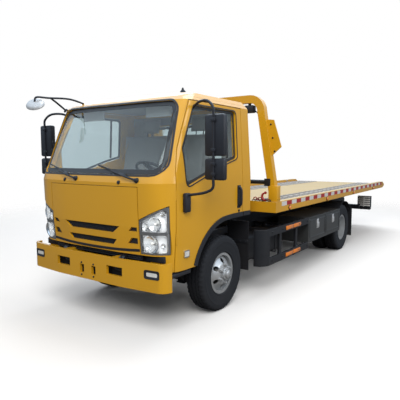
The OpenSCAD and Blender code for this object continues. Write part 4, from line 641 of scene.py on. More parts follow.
# Front mudflaps and towing eyes: plain rubber sheets bolted behind a steel strip along the top, and
# bent eyes welded to a black beam behind the bumper's openings.
dress(guard_rubber, "front_mudflaps")
strips = bmesh.new()
for side in (1, -1):
    flank(strips, side, (0.605, 0.4955, 0.640), (0.875, 0.500, 0.685), 0.001)
    for x in (0.635, 0.705, 0.775, 0.845):
        hex_bolt(strips, at(side * x, 0.4955, 0.662), (0, -1, 0), 0.008)
piece(strips, "front_flap_clamps", frame_black, "chassis")
EYE_X = 0.362
tow_hooks = bmesh.new()
block(tow_hooks, at(-0.62, -0.998, 0.462), at(0.62, -0.980, 0.655), 0.004)
for side in (1, -1):
    flank(tow_hooks, side, (EYE_X - 0.115, -1.012, 0.500), (EYE_X + 0.115, -1.000, 0.640), 0.004)
    eye = ((-0.05, -1.005), (-0.05, -1.03), (0.0, -1.038), (0.05, -1.03), (0.05, -1.005))
    tube(tow_hooks, smooth_line([at(side * EYE_X + dx, y, 0.590) for dx, y in eye]), 0.010, 10)
piece(tow_hooks, "front_tow_eyes", frame_black, "chassis")

# Cab: welded steel shell, roof, doors and front panel in amber yellow gloss enamel, with a black floor
# pan. Black rubber seals frame the glass, and a black moulding edges the wheel arches.
dress(cab_paint, "cab_shell", "cab_roof", "front_panel", "door_left", "door_right", crease=28)
dress(frame_black, "cab_floor")


def see_through(name, colour, rough, bend, pattern, height, strength, distance):
    """A clear material with a faint ripple; bend is its index of refraction."""
    made = bpy.data.materials.new(name)
    made.use_nodes = True
    tree = made.node_tree
    shader = tree.nodes["Principled BSDF"]
    for label, value in (("Base Color", (*colour, 1.0)), ("Roughness", rough), ("Transmission Weight", 1.0),
                         ("IOR", bend)):
        shader.inputs[label].default_value = value
    kind, sockets, settings = pattern
    sockets["Vector"] = add(tree, "TexCoord").outputs["Object"]
    waves = add(tree, kind, sockets, **settings).outputs[height]
    ripple = add(tree, "Bump", {"Strength": strength, "Distance": distance, "Height": waves})
    tree.links.new(ripple.outputs[0], shader.inputs["Normal"])
    return made


ROLLED = ("TexNoise", {"Scale": 2.2, "Detail": 1.0}, {})
window_glass = see_through("window_glass", (0.60, 0.68, 0.69), 0.015, 1.45, ROLLED, 0, 0.03, 0.01)
dress(window_glass, "cab_glass", "door_glass_left", "door_glass_right", crease=20)
for name in ("cab_glass", "door_glass_left", "door_glass_right"):
    nodes[name].visible_shadow = False
seal_rubber = finish("seal_rubber", (0.014, 0.014, 0.015), 0.50, grain=500.0, bump=0.15, tone=0.08, soft_edge=0.002)
WINDSHIELD = ((-0.845, 1.475), (0.845, 1.475), (0.785, 2.150), (-0.785, 2.150))
DOOR_WINDOW = ((-0.700, 1.360), (-0.030, 1.565), (0.205, 1.620), (0.205, 2.110), (-0.545, 2.110), (-0.735, 1.710))
glass_skin = skin_of("cab_glass")
edging = bmesh.new()
band(edging, glass_skin, "front", grown(WINDSHIELD, -0.003), grown(WINDSHIELD, -0.045), 0.002, (0.107, 0.08), 0.10)
band(edging, glass_skin, "rear", ((-0.556, 1.564), (0.556, 1.564), (0.556, 2.016), (-0.556, 2.016)),
     ((-0.525, 1.595), (0.525, 1.595), (0.525, 1.985), (-0.525, 1.985)), 0.002, (0.041, 0.03), 0.10)
piece(edging, "windshield_edging", seal_rubber, "cab")
shell_skin = skin_of("cab_shell", "front_panel", "cab_roof")
gasket = bmesh.new()
band(gasket, shell_skin, "front", grown(WINDSHIELD, 0.016), grown(WINDSHIELD, 0.0015), 0.005, (0.126, 0.1115), 0.10)
piece(gasket, "windshield_gasket", seal_rubber, "cab")

bright_metal = finish("bright_metal", (0.74, 0.75, 0.76), 0.16, metallic=1.0, grain=400.0, bump=0.05, patch=0.05,
                      tone=0.04, soft_edge=0.0)
for side, word in SIDES:
    door_skin = skin_of("door_" + word)
    pane_skin = skin_of("door_glass_" + word)
    seal = bmesh.new()
    band(seal, pane_skin, word, grown(DOOR_WINDOW, -0.003), grown(DOOR_WINDOW, -0.028), 0.004, (0.042, 0.03), 0.10)
    band(seal, door_skin, word, grown(DOOR_WINDOW, 0.014), grown(DOOR_WINDOW, 0.002), 0.004, (0.059, 0.047), 0.10)
    y = 0.045
    rows = [[touch(pane_skin, word, y + dy, z) for dy in (-0.014, 0.014)] for z in (1.62, 1.75, 1.9, 2.0, 2.09)]
    sheet(seal, rows, 0.005)
    piece(seal, "window_seal_" + word, seal_rubber, "door_" + word)
    moulding = bmesh.new()
    rows = []
    for k in range(25):
        a = math.radians(160.0 - k * 70.0 / 24)
        rows.append([touch(door_skin, word, math.cos(a) * r, AXLE_Z + math.sin(a) * r)
                     for r in (0.579, 0.600, 0.628)])
    for y in (0.10, 0.20, 0.306):
        rows.append([touch(door_skin, word, y, z) for z in (0.988, 1.010, 1.036)])
    sheet(moulding, rows, 0.011)
    piece(moulding, "arch_moulding_door_" + word, black_plastic, "door_" + word)
    moulding = bmesh.new()
    rows = [[touch(shell_skin, word, y, z) for z in (0.988, 1.010, 1.036)] for y in (0.322, 0.40, 0.47)]
    sheet(moulding, rows, 0.011)
    piece(moulding, "arch_moulding_cab_" + word, black_plastic, "cab")
    handle = bmesh.new()
    rows = patch(door_skin, word, ((0.198, 1.085), (0.262, 1.085), (0.262, 1.330), (0.198, 1.330)), 3, 6)
    sheet(handle, rows, 0.006)
    pull = ((0.905, 1.10), (0.935, 1.13), (0.939, 1.21), (0.935, 1.285), (0.905, 1.315))
    tube(handle, smooth_line([at(side * x, 0.230, z) for x, z in pull]), 0.013, 12)
    place, normal = touch(door_skin, word, 0.23, 1.055)
    bar(handle, place, place + normal * 0.008, 0.014, 20)
    piece(handle, "door_handle_" + word, black_plastic, "door_" + word)
    marker, surround = bmesh.new(), bmesh.new()
    outline = ((-0.745, 0.722), (-0.680, 0.722), (-0.680, 0.778), (-0.745, 0.778))
    sheet(marker, patch(door_skin, word, grown(outline, -0.006), 4, 4), 0.016)
    band(surround, door_skin, word, grown(outline, 0.007), grown(outline, -0.006), 0.011, (0.014, 0.008))
    piece(marker, "side_repeater_" + word, lamp_white, "door_" + word)
    piece(surround, "side_repeater_frame_" + word, bright_metal, "door_" + word)

# Grille and front trim: a black moulding with honeycomb mesh behind the panel's slots, a ribbed filler
# over the bumper, a lip along the panel, washer jets, and black steel wiper arms with rubber blades.
dress(black_plastic, "grille")
front_skin = skin_of("cab_shell", "front_panel", "grille", "cab_glass")
SLOTS = (((-0.299, 0.936), (0.299, 0.936), (0.384, 1.000), (-0.384, 1.000)),
         ((-0.290, 0.820), (0.290, 0.820), (0.340, 0.875), (-0.340, 0.875)))
CELL = 0.0125
mesh_lines = bmesh.new()
for outline in SLOTS:
    (x0, z0), (x1, _), (x2, z1), _ = outline
    ends = set()
    for row in range(int((z1 - z0) / (CELL * 1.5)) + 2):
        for column in range(int(2 * x2 / (CELL * 1.732)) + 2):
            cx = -x2 + (column + 0.5 * (row % 2)) * CELL * 1.732
            cz = z0 + row * CELL * 1.5
            ring = [(round(cx + CELL * math.sin(a), 5), round(cz + CELL * math.cos(a), 5))
                    for a in (math.tau * k / 6 for k in range(6))]
            ends |= {tuple(sorted(pair)) for pair in zip(ring, ring[1:] + ring[:1])}
    for a, b in sorted(ends):
        if all(z0 < z < z1 and abs(x) < x1 + (x2 - x1) * (z - z0) / (z1 - z0) - 0.004 for x, z in (a, b)):
            places = [p + n * 0.003 for p, n in (touch(front_skin, "front", *e) for e in (a, b))]
            bar(mesh_lines, *places, 0.0022, 4)
piece(mesh_lines, "grille_mesh", black_plastic, "cab")
filler = bmesh.new()
for k in range(4):
    block(filler, at(-0.60, -0.992, 0.700 + k * 0.018), at(0.60, -0.978, 0.711 + k * 0.018), 0.002)
for k in range(13):
    x = -0.60 + k * 0.1
    block(filler, at(x - 0.005, -0.980, 0.700), at(x + 0.005, -0.970, 0.765), 0.001)
for side in (1, -1):
    flank(filler, side, (0.62, -0.945, 0.690), (0.83, -0.915, 0.752), 0.006)
piece(filler, "bumper_filler", black_plastic, "cab")
rows = []
for k in range(25):
    x = -0.600 + k * 0.05
    low = 0.762 + 0.022 * (x / 0.6) ** 2
    rows.append([touch(front_skin, "front", x, z) for z in (low, low + 0.012, low + 0.024)])
lip = bmesh.new()
sheet(lip, rows, 0.004)
piece(lip, "front_panel_lip", black_plastic, "cab")
jets = bmesh.new()
for x, z in ((-0.356, 1.411), (0.397, 1.405)):
    place, normal = touch(front_skin, "front", x, z)
    turned(jets, [(0.018, 0.0), (0.017, 0.006), (0.011, 0.011), (0.0, 0.013)], place, normal, 18)
piece(jets, "washer_jets", black_plastic, "cab")

wiper = bmesh.new()
for pivot_x, tip_x, pivot_z, tip_z in ((-0.190, -0.690, 1.425, 1.535), (0.597, 0.080, 1.425, 1.535)):
    foot, normal = touch(front_skin, "front", pivot_x, pivot_z)
    turned(wiper, [(0.0, 0.030), (0.012, 0.029), (0.017, 0.024), (0.019, 0.010), (0.024, 0.004), (0.026, 0.0)],
           foot, normal, 24)
    line = []
    for k in range(9):
        t = k / 8
        p, n = touch(front_skin, "front", pivot_x + (tip_x - pivot_x) * t, pivot_z + (tip_z - pivot_z) * t)
        line.append(p + n * (0.022 + 0.016 * math.sin(math.pi * min(1.0, t * 1.6))))
    tube(wiper, line[:6], [0.010, 0.009, 0.008, 0.007, 0.006, 0.006], 8)
    rows = []
    for k in range(17):
        t = 0.22 + 0.80 * k / 16
        x, z = pivot_x + (tip_x - pivot_x) * t, pivot_z + (tip_z - pivot_z) * t + 0.012
        rows.append([touch(front_skin, "front", x, z + dz) for dz in (-0.006, 0.006)])
    sheet(wiper, rows, 0.018, -0.008)
    narrow = [[((row[0][0] * (1 - s) + row[1][0] * s), row[0][1]) for s in (0.35, 0.65)] for row in rows]
    sheet(wiper, narrow, 0.009, -0.0015)
made = piece(wiper, "wiper_arms", black_plastic, "cab")
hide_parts("wipers")

# Headlamps: clear moulded lenses over chrome bowls and a silvered backing, in a grey housing at each
# corner of the cab with a bar between its upper and its lower lamp.
LAMP = ((0.609, 0.763), (0.852, 0.763), (0.866, 1.203), (0.609, 1.074))
UPPER = ((0.622, 0.968), (0.848, 0.968), (0.854, 1.180), (0.622, 1.060))
LOWER = ((0.622, 0.778), (0.842, 0.778), (0.848, 0.944), (0.622, 0.944))
lamp_skin = skin_of("headlamps")
FLUTED = ("TexWave", {"Scale": 34.0, "Distortion": 0.0}, {"bands_direction": "X"})
lens_clear = see_through("lamp_lens", (0.93, 0.95, 0.96), 0.03, 1.35, FLUTED, 1, 0.12, 0.001)
lamp_grey = finish("lamp_grey", (0.16, 0.165, 0.17), 0.32, metallic=0.5, coat=0.3, coat_rough=0.1, grain=700.0,
                   bump=0.05)
lamp_silver = finish("lamp_silver", (0.72, 0.73, 0.75), 0.24, grain=90.0, bump=0.2, patch=0.06,
                     tone=0.06, soft_edge=0.0)
for side, word in SIDES:
    housing, bowls, lenses, bulbs, backing = bmesh.new(), bmesh.new(), bmesh.new(), bmesh.new(), bmesh.new()
    mirror = [(side * x, z) for x, z in LAMP]
    back = patch(lamp_skin, "front", mirror, 8, 10)
    sheet(backing, [[(p - n * 0.040, n) for p, n in row] for row in back], 0.0, 0.003)
    edge = [back[0], [row[-1] for row in back], back[-1][::-1], [row[0] for row in back][::-1]]
    wall = [spot for line in edge for spot in line[:-1]]
    middle = sum((p for p, n in wall), Vector()) / len(wall)
    rows = []
    for p, n in wall:
        out = p - middle
        out = (out - n * out.dot(n)).normalized()
        rows.append([(p + n * 0.004, out), (p - n * 0.041, out)])
    sheet(housing, rows, 0.0, 0.002, loop=True)
    for outline in (UPPER, LOWER):
        corners = [(side * x, z) for x, z in outline]
        sheet(lenses, patch(lamp_skin, "front", grown(corners, 0.004), 8, 6), 0.004, 0.0)
        band(housing, lamp_skin, "front", grown(corners, 0.012), grown(corners, -0.003), 0.005, (0.012, 0.02), 0.06)
    for x, z, r, deep in ((0.668, 1.010, 0.036, 0.020), (0.768, 1.040, 0.062, 0.030), (0.830, 1.130, 0.022, 0.014),
                          (0.722, 0.861, 0.078, 0.034), (0.822, 0.840, 0.022, 0.014)):
        place, normal = touch(lamp_skin, "front", side * x, z)
        axis = (normal + Vector((0, -1.2, 0))).normalized()
        place = place - normal * 0.038
        inside = [(r * s, deep * s * s) for s in (0.0, 0.25, 0.5, 0.75, 0.9, 1.0)]
        outside = [(r * s, deep * s * s - 0.0015) for s in (1.0, 0.75, 0.5, 0.25, 0.0)]
        turned(bowls, inside + [(r * 1.08, deep)] + outside, place + axis * 0.002, axis, 36)
        turned(bulbs, [(r * 0.16, 0.0), (r * 0.22, deep * 0.3), (r * 0.20, deep * 0.55), (r * 0.1, deep * 0.75),
                       (0.0, deep * 0.8)], place + axis * 0.004, axis, 18)
    made = piece(housing, "headlamp_housing_" + word, lamp_grey, "cab")
    if side > 0:
        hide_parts("headlamps")
    piece(backing, "headlamp_backing_" + word, lamp_silver, "cab")
    piece(bowls, "headlamp_bowls_" + word, bright_metal, "cab", crease=50)
    piece(bulbs, "headlamp_bulbs_" + word, lamp_white, "cab", crease=50)
    made = piece(lenses, "headlamp_lens_" + word, lens_clear, "cab")
    made.visible_shadow = False

# Mirrors: bent steel tubes in black with moulded backs and silvered glass, one pair on each door, and a
# round one on the roof's right corner that shows the road before the bumper.
mirror_glass = finish("mirror_glass", (0.80, 0.83, 0.85), 0.02, metallic=1.0, grain=40.0, bump=0.01, patch=0.01,
                      tone=0.02, soft_edge=0.0)
UPPER_BENDS = ((0.866, -0.553, 2.085), (0.970, -0.605, 2.125), (1.095, -0.660, 2.120), (1.172, -0.687, 2.060),
               (1.180, -0.690, 1.990))
LOWER_BENDS = ((1.180, -0.690, 1.440), (1.172, -0.690, 1.360), (1.090, -0.698, 1.318), (0.960, -0.722, 1.295),
               (0.905, -0.728, 1.287))
MIRROR_X, MIRROR_IN, MIRROR_OUT = 1.18, 1.0775, 1.2825          # the post and the edges of the backs
PANE_EDGE = 0.014
MIRRORS = ((1.640, 2.000), (1.430, 1.620))          # bottom and top of each
for side, word in SIDES:
    arms, panes = bmesh.new(), bmesh.new()
    for bends in (UPPER_BENDS, LOWER_BENDS):
        tube(arms, smooth_line([at(side * x, y, z) for x, y, z in bends]), 0.0125, 12)
    bar(arms, at(side * MIRROR_X, -0.690, 1.42), at(side * MIRROR_X, -0.690, 2.02), 0.0115, 16)
    for low, top in MIRRORS:
        flank(arms, side, (MIRROR_IN, -0.684, low), (MIRROR_OUT, -0.617, top), 0.020)
        flank(panes, side, (MIRROR_IN + PANE_EDGE, -0.618, low + PANE_EDGE),
              (MIRROR_OUT - PANE_EDGE, -0.614, top - PANE_EDGE), 0.001)
        for z in (low + 0.05, top - 0.05):
            flank(arms, side, (MIRROR_X - 0.022, -0.705, z - 0.016), (MIRROR_X + 0.022, -0.680, z + 0.016), 0.005)
    flank(arms, side, (0.902, -0.770, 1.135), (0.945, -0.690, 1.310), 0.014)
    made = piece(arms, "mirror_arms_" + word, black_plastic, "door_" + word)
    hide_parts("mirrors_" + word)
    piece(panes, "mirror_panes_" + word, mirror_glass, "door_" + word)
round_mirror, silver = bmesh.new(), bmesh.new()
head = at(-0.850, -1.030, 2.190)
tilt = Vector((-0.36, 0.52, -0.77)).normalized()
shell = bmesh.new()
turned(shell, [(0.0, -0.032), (0.045, -0.029), (0.078, -0.016), (0.094, 0.004), (0.095, 0.016), (0.088, 0.020),
               (0.086, 0.008), (0.0, 0.006)], head, tilt, 40)
turned(silver, [(0.089, 0.012), (0.075, 0.018), (0.045, 0.025), (0.0, 0.029)], head, tilt, 40)
knee = at(-0.800, -0.900, 2.262)
tube(round_mirror, smooth_line([head - tilt * 0.028, head - tilt * 0.05 + Vector((0.004, 0.03, 0.03)), knee,
                                at(-0.700, -0.700, 2.262), at(-0.600, -0.545, 2.206)]), 0.0105, 12)
tube(round_mirror, smooth_line([knee + Vector((0.01, 0.02, 0.0)), at(-0.795, -0.790, 2.215),
                                at(-0.800, -0.680, 2.150)]), 0.0105, 12)
for foot in (at(-0.600, -0.545, 2.206), at(-0.802, -0.676, 2.146)):
    turned(round_mirror, [(0.024, -0.006), (0.026, 0.004), (0.018, 0.014), (0.0, 0.018)], foot,
           (-0.5, -0.55, 0.68), 18)
made = piece(round_mirror, "front_mirror_arm", black_plastic, "cab")
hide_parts("front_view_mirror")
piece(shell, "front_mirror_back", galvanised, "cab")
piece(silver, "front_mirror_glass", mirror_glass, "cab")

# Cab trim: an aerial foot on the roof, black steps with cleats under the doors, a grey lining of the
# roof, rear wall and doors, the moulded dashboard and the wheel with its column.
trim = bmesh.new()
roof_spot = at(0.60, -0.36, 2.262)
turned(trim, [(0.030, 0.0), (0.029, 0.014), (0.020, 0.024), (0.012, 0.034), (0.008, 0.050), (0.0, 0.054)],
       roof_spot, (0.15, -0.25, 1.0), 22)
for side in (1, -1):
    flank(trim, side, (0.560, -0.930, 0.545), (0.880, -0.610, 0.585), 0.010)
    for k in range(7):
        y = -0.915 + k * 0.045
        flank(trim, side, (0.580, y, 0.583), (0.860, y + 0.018, 0.592))
piece(trim, "steps_and_aerial", black_plastic, "cab")
lining_grey = finish("lining_grey", (0.34, 0.34, 0.34), 0.80, grain=500.0, bump=0.4, tone=0.08, soft_edge=0.004)
lining = bmesh.new()
block(lining, at(-0.74, -0.52, 2.168), at(0.74, 0.36, 2.180), 0.004)
for low, high in (((-0.80, 1.05), (0.80, 1.545)), ((-0.80, 2.035), (0.80, 2.165)),
                  ((-0.80, 1.545), (-0.575, 2.035)), ((0.575, 1.545), (0.80, 2.035))):
    block(lining, at(low[0], 0.402, low[1]), at(high[0], 0.418, high[1]), 0.004)
for side in (1, -1):
    flank(lining, side, (0.30, -0.575, 2.020), (0.62, -0.560, 2.160), 0.006)
piece(lining, "cab_lining", lining_grey, "cab")
dress(black_plastic, "dashboard", "steering_wheel", crease=40)
dash = bmesh.new()
block(dash, at(0.17, -0.735, 1.398), at(0.57, -0.610, 1.462), 0.022)
block(dash, at(-0.10, -0.640, 1.20), at(0.09, -0.588, 1.385), 0.012)
for x in (-0.62, -0.20, 0.13, 0.66):
    for k in range(4):
        block(dash, at(x - 0.05, -0.603, 1.318 + k * 0.014), at(x + 0.05, -0.592, 1.325 + k * 0.014), 0.002)
piece(dash, "dash_fittings", lining_grey, "cab")
for side, word in SIDES:
    card = bmesh.new()
    flank(card, side, (0.822, -0.44, 1.06), (0.836, 0.27, 1.34), 0.004)
    flank(card, side, (0.775, -0.30, 1.20), (0.826, 0.14, 1.25), 0.014)
    piece(card, "door_card_" + word, lining_grey, "door_" + word)

# Seats: foam cushions in grey woven cloth on a steel base, with sewn channels and piped edges. The
# cushions are crowned, and their sides pull in a little between the corners.
seat_cloth = finish("seat_cloth", (0.25, 0.255, 0.265), 0.92, grain=1400.0, bump=0.6, tone=0.12, soft_edge=0.0)


def cushion(shape, low, high, turn, hinge, crown, channels):
    """A padded cushion between two corners, leant back about a hinge line; channels run along its length."""
    low, high = Vector(low), Vector(high)
    size, middle = high - low, (low + high) / 2
    steps = 26
    made = {}

    def spot(u, v, w):
        key = (round(u, 5), round(v, 5), round(w, 5))
        if key not in made:
            side = 0.5 * size.x * u
            pull = 1.0 - 0.03 * (1.0 - v * v)
            depth = 1.0 - 0.03 * (1.0 - u * u)
            round_off = 1.0 - 0.16 * abs(w) ** 3 * max(abs(u), abs(v)) ** 8
            puff = crown * (1.0 - abs(u) ** 3) * (1.0 - abs(v) ** 3) * max(0.0, w)
            groove = sum(math.exp(-((u - c) / 0.022) ** 2) for c in channels) * 0.012 * max(0.0, w)
            place = Vector((side * pull * round_off, 0.5 * size.y * v * depth * round_off,
                            0.5 * size.z * w * (1.0 - 0.10 * max(abs(u), abs(v)) ** 10) + puff - groove))
            place = place + middle - hinge
            made[key] = shape.verts.new(Matrix.Rotation(turn, 3, "X") @ place + hinge)
        return made[key]

    for i in range(steps):
        for j in range(steps):
            a, b = -1 + 2 * i / steps, -1 + 2 * (i + 1) / steps
            c, d = -1 + 2 * j / steps, -1 + 2 * (j + 1) / steps
            for w in (1, -1):
                shape.faces.new((spot(a, c, w), spot(b, c, w), spot(b, d, w), spot(a, d, w)))
    rise = 6
    for k in range(steps):
        a, b = -1 + 2 * k / steps, -1 + 2 * (k + 1) / steps
        for j in range(rise):
            c, d = -1 + 2 * j / rise, -1 + 2 * (j + 1) / rise
            for e in (1, -1):
                shape.faces.new((spot(a, e, c), spot(b, e, c), spot(b, e, d), spot(a, e, d)))
                shape.faces.new((spot(e, a, c), spot(e, b, c), spot(e, b, d), spot(e, a, d)))


SEAT_LEAN = math.radians(-10.0)
UPRIGHT = math.radians(90.0) + SEAT_LEAN
base = bmesh.new()
for word, x0, x1, channels in (("driver", 0.11, 0.63, (-0.45, 0.45)), ("bench", -0.785, 0.02, (-0.62, 0.0, 0.62))):
    squab = bmesh.new()
    cushion(squab, at(x0 + 0.006, -0.264, 1.190), at(x1 - 0.006, 0.244, 1.318), 0.0, at(0, 0, 1.25), 0.022,
            channels)
    made = piece(squab, "seat_cushion_" + word, seat_cloth, "cab", crease=75)
    rest = bmesh.new()
    hinge = at(0, 0.080, 1.315)
    cushion(rest, hinge + Vector((x0 + 0.016, 0.008, -0.110)), hinge + Vector((x1 - 0.016, 0.600, -0.010)),
            UPRIGHT, hinge, 0.012, channels)
    made = piece(rest, "seat_back_" + word, seat_cloth, "cab", crease=75)
    if word == "driver":
        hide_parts("seats")
    middle = (x0 + x1) / 2
    pillow = bmesh.new()
    cushion(pillow, hinge + Vector((middle - 0.125, 0.635, -0.105)),
            hinge + Vector((middle + 0.125, 0.800, -0.040)), UPRIGHT, hinge, 0.012, ())
    made = piece(pillow, "head_rest_" + word, seat_cloth, "cab", crease=75)
    block(base, at(x0 + 0.075, -0.195, 1.016), at(x1 - 0.075, 0.100, 1.186), 0.010)
    for dx in (-0.05, 0.05):
        turn = Matrix.Rotation(SEAT_LEAN, 3, "X")
        bar(base, *(hinge + turn @ Vector((middle + dx, 0.066, z)) for z in (0.58, 0.66)), 0.006, 10)
piece(base, "seat_bases", black_plastic, "cab")

# Tilting frame and its cylinders: welded black box beams and painted barrels with hard-chromed rods,
# and rubber hoses clipped along the beams.
dress(frame_black, "tilt_frame", "lift_barrels", "slide_barrel")
rod_chrome = finish("rod_chrome", (0.70, 0.71, 0.73), 0.14, metallic=1.0, grain=500.0, bump=0.05, patch=0.04,
                    tone=0.05, soft_edge=0.0)
dress(rod_chrome, "lift_rods", "slide_rod")
HOSE_X = 0.302
hoses = bmesh.new()
for side in (1, -1):
    for z in (0.80, 0.822):
        line = [at(side * HOSE_X, y, z) for y in (1.05, 1.9, 2.8, 3.7, 4.6, 5.5)]
        tube(hoses, smooth_line(line, 4), 0.008, 8)
    for y in (1.2, 2.0, 2.8, 3.6, 4.4, 5.2):
        block(hoses, at(side * HOSE_X - 0.010, y, 0.785), at(side * HOSE_X + 0.006, y + 0.02, 0.840), 0.002)
piece(hoses, "bed_hoses", guard_rubber, "tilt_frame")

# Bed: welded steel deck in yellow enamel, with painted light that makes its upward faces paler, two punched steel
# grip strips with painted shade in their holes, reflective tape and amber marker lamps on its side rails, and
# lashing rings along the edges.
# The paler colour given below for upward faces is painted light on the deck's top.
bed_paint = finish("bed_paint", (0.56, 0.285, 0.012), 0.42, coat=0.4, coat_rough=0.15, grain=420.0, bump=0.08,
                   patch=0.08, patch_scale=2.4, wear=0.35, bare=(0.34, 0.27, 0.17), tone=0.07,
                   painted_top_light=(0.65, 0.465, 0.18))
dress(bed_paint, "bed_deck")
DECK_TOP = 1.044
STRIP_TOP = DECK_TOP + 0.010
STRIP_X = (0.480, 0.935)
ROW_STEP, HOLE_STEP = 0.1055, 0.148
OBLONG = ((-1, -0.4), (-0.72, -1), (0.72, -1), (1, -0.4), (1, 0.4), (0.72, 1), (-0.72, 1), (-1, 0.4))
RIM = ((0.068, 0.036, 0.0), (0.064, 0.032, 0.0035), (0.058, 0.027, 0.0035), (0.057, 0.026, 0.0020))
grip, holes = bmesh.new(), bmesh.new()
for side in (1, -1):
    flank(grip, side, (STRIP_X[0], 1.410, DECK_TOP - 0.001), (STRIP_X[1], 6.400, STRIP_TOP), 0.002)
    for row in range(47):
        y = 1.462 + row * ROW_STEP
        for k in range(3):
            x = side * (STRIP_X[0] + 0.075 + k * HOLE_STEP + (0.016 if row % 2 else -0.004))
            rings = [[grip.verts.new(at(x + wide * cx, y + tall * cy, STRIP_TOP + z)) for cx, cy in OBLONG]
                     for wide, tall, z in RIM]
            # The plugs sunk just under each hole's rim are painted shade, standing in for the shade inside the
            # holes.
            plug = [[holes.verts.new(v.co - Vector((0, 0, drop))) for v in rings[-1]] for drop in (0.0004, 0.0025)]
            for shape, one, two in [(grip, *pair) for pair in zip(rings, rings[1:] + rings[:1])] + [(holes, *plug)]:
                for i in range(8):
                    shape.faces.new((one[i], one[(i + 1) % 8], two[(i + 1) % 8], two[i]))
            holes.faces.new(plug[0])
            holes.faces.new(plug[1][::-1])
strip_steel = finish("strip_steel", (0.37, 0.36, 0.345), 0.65, metallic=0.10, grain=90.0, bump=0.3, patch=0.08,
                     patch_scale=12.0, tone=0.15, soft_edge=0.0, shine=0.1)
piece(grip, "deck_grip_strips", strip_steel, "bed", crease=25)
# Painted shade: a near-black sheet in each hole of the grip strips, where only shade falls.
hole_shade = finish("hole_shade", (0.020, 0.019, 0.018), 0.9, grain=120.0, bump=0.2, soft_edge=0.0, shine=0.0)
piece(holes, "deck_grip_hole_shade", hole_shade, "bed")
red_tape = finish("red_tape", (0.34, 0.014, 0.012), 0.35, grain=900.0, bump=0.5, tone=0.1, soft_edge=0.0)
white_tape = finish("white_tape", (0.56, 0.55, 0.53), 0.35, grain=900.0, bump=0.5, tone=0.06, soft_edge=0.0)
BED_X = 1.050
TAPE_STEP = 0.152
tapes = {"red": bmesh.new(), "white": bmesh.new()}
for side in (1, -1):
    for k in range(34):
        y = 1.02 + k * TAPE_STEP
        flank(tapes["red" if k % 2 else "white"], side, (BED_X - 0.001, y, 1.040),
              (BED_X + 0.0015, y + 0.150, 1.092), 0.0)
for word, material in (("red", red_tape), ("white", white_tape)):
    piece(tapes[word], "edge_tape_" + word, material, "bed")
markers, feet = bmesh.new(), bmesh.new()
for side in (1, -1):
    for y in (1.25, 2.65, 4.05, 5.45):
        spot = at(side * BED_X, y, 1.003)
        turned(feet, [(0.030, 0.0), (0.030, 0.008), (0.024, 0.010), (0.0, 0.010)], spot, (side, 0, 0), 26)
        turned(markers, [(0.024, 0.009), (0.023, 0.015), (0.015, 0.020), (0.0, 0.022)], spot, (side, 0, 0), 26)
piece(markers, "edge_markers", amber_lens, "bed")
piece(feet, "edge_marker_feet", black_plastic, "bed")
lashings = bmesh.new()
for side in (1, -1):
    for y in (1.75, 2.75, 3.75, 4.75, 5.75):
        x = side * 0.962
        tube(lashings, [at(x, y + 0.035 * math.cos(a), 1.068 + 0.030 * math.sin(a)) for a in
                        (math.tau * k / 20 for k in range(20))], 0.0065, 8, closed=True)
        flank(lashings, side, (0.952, y - 0.018, 1.088), (0.9715, y + 0.018, 1.099), 0.002)
piece(lashings, "lashing_rings", galvanised, "bed")

# Head arch, winch and hook: folded steel posts in body colour on boxed feet, with work lamps and a
# black rail, a drum of steel rope, and a red forged hook on a short chain stowed beside the post.
dress(cab_paint, "head_arch", crease=30)
dress(frame_black, "winch")
rail = bmesh.new()
bar(rail, at(-0.950, 0.935, 1.330), at(0.950, 0.935, 1.330), 0.0262, 28)
for side in (1, -1):
    block(rail, at(side * 0.925 - 0.05, 0.888, 1.285), at(side * 0.925 + 0.03, 0.894, 1.375), 0.003)
piece(rail, "arch_rail_sleeve", frame_black, "bed")
FOOT_OUT = 1.049
feet = bmesh.new()
for side in (1, -1):
    flank(feet, side, (0.932, 0.886, 1.098), (FOOT_OUT, 0.984, 1.292), 0.008)
    for y in (0.905, 0.965):
        hex_bolt(feet, at(side * FOOT_OUT, y, 1.130), (side, 0, 0), 0.009)
piece(feet, "arch_feet", cab_paint, "bed")
lamps, glow = bmesh.new(), bmesh.new()
for side in (1, -1):
    flank(lamps, side, (0.575, 0.900, 2.170), (0.705, 0.985, 2.262), 0.014)
    flank(lamps, side, (0.624, 0.925, 2.255), (0.656, 0.950, 2.290))
    flank(glow, side, (0.587, 0.984, 2.182), (0.693, 0.990, 2.250))
    for z in (1.70, 1.86, 2.02):
        hex_bolt(lamps, at(side * (1.045 - 0.185 * (z - 1.1) / 1.08 + 0.045), 0.928, z), (0, -1, 0), 0.010)
tube(lamps, smooth_line([at(0.705, 0.95, 2.20), at(0.76, 0.965, 2.14), at(0.80, 0.968, 2.05), at(0.86, 0.972, 1.80),
                         at(0.94, 0.976, 1.40), at(0.965, 0.978, 1.16)]), 0.007, 8)
piece(lamps, "arch_lamps", black_plastic, "bed")
piece(glow, "arch_lamp_lenses", lamp_white, "bed")
rope_steel = finish("rope_steel", (0.36, 0.36, 0.37), 0.42, metallic=0.9, grain=900.0, bump=0.6, tone=0.2,
                    soft_edge=0.0)
WINCH_Y, WINCH_Z = 1.130, 1.190
DRUM_R, ROPE_D = 0.0655, 0.010
ONE_TURN = ((0.15, 0.03), (0.75, 0.2), (1.0, 0.5), (0.75, 0.8), (0.15, 0.97))
rope = bmesh.new()
profile = [(DRUM_R, -0.243)]
for k in range(48):
    x = -0.240 + k * ROPE_D
    profile += [(DRUM_R + ROPE_D * s, x + ROPE_D * t) for s, t in ONE_TURN]
turned(rope, profile + [(DRUM_R, 0.243)], at(0, WINCH_Y, WINCH_Z), (1, 0, 0), 40)
piece(rope, "winch_rope_coil", rope_steel, "bed", crease=80)
fittings = bmesh.new()
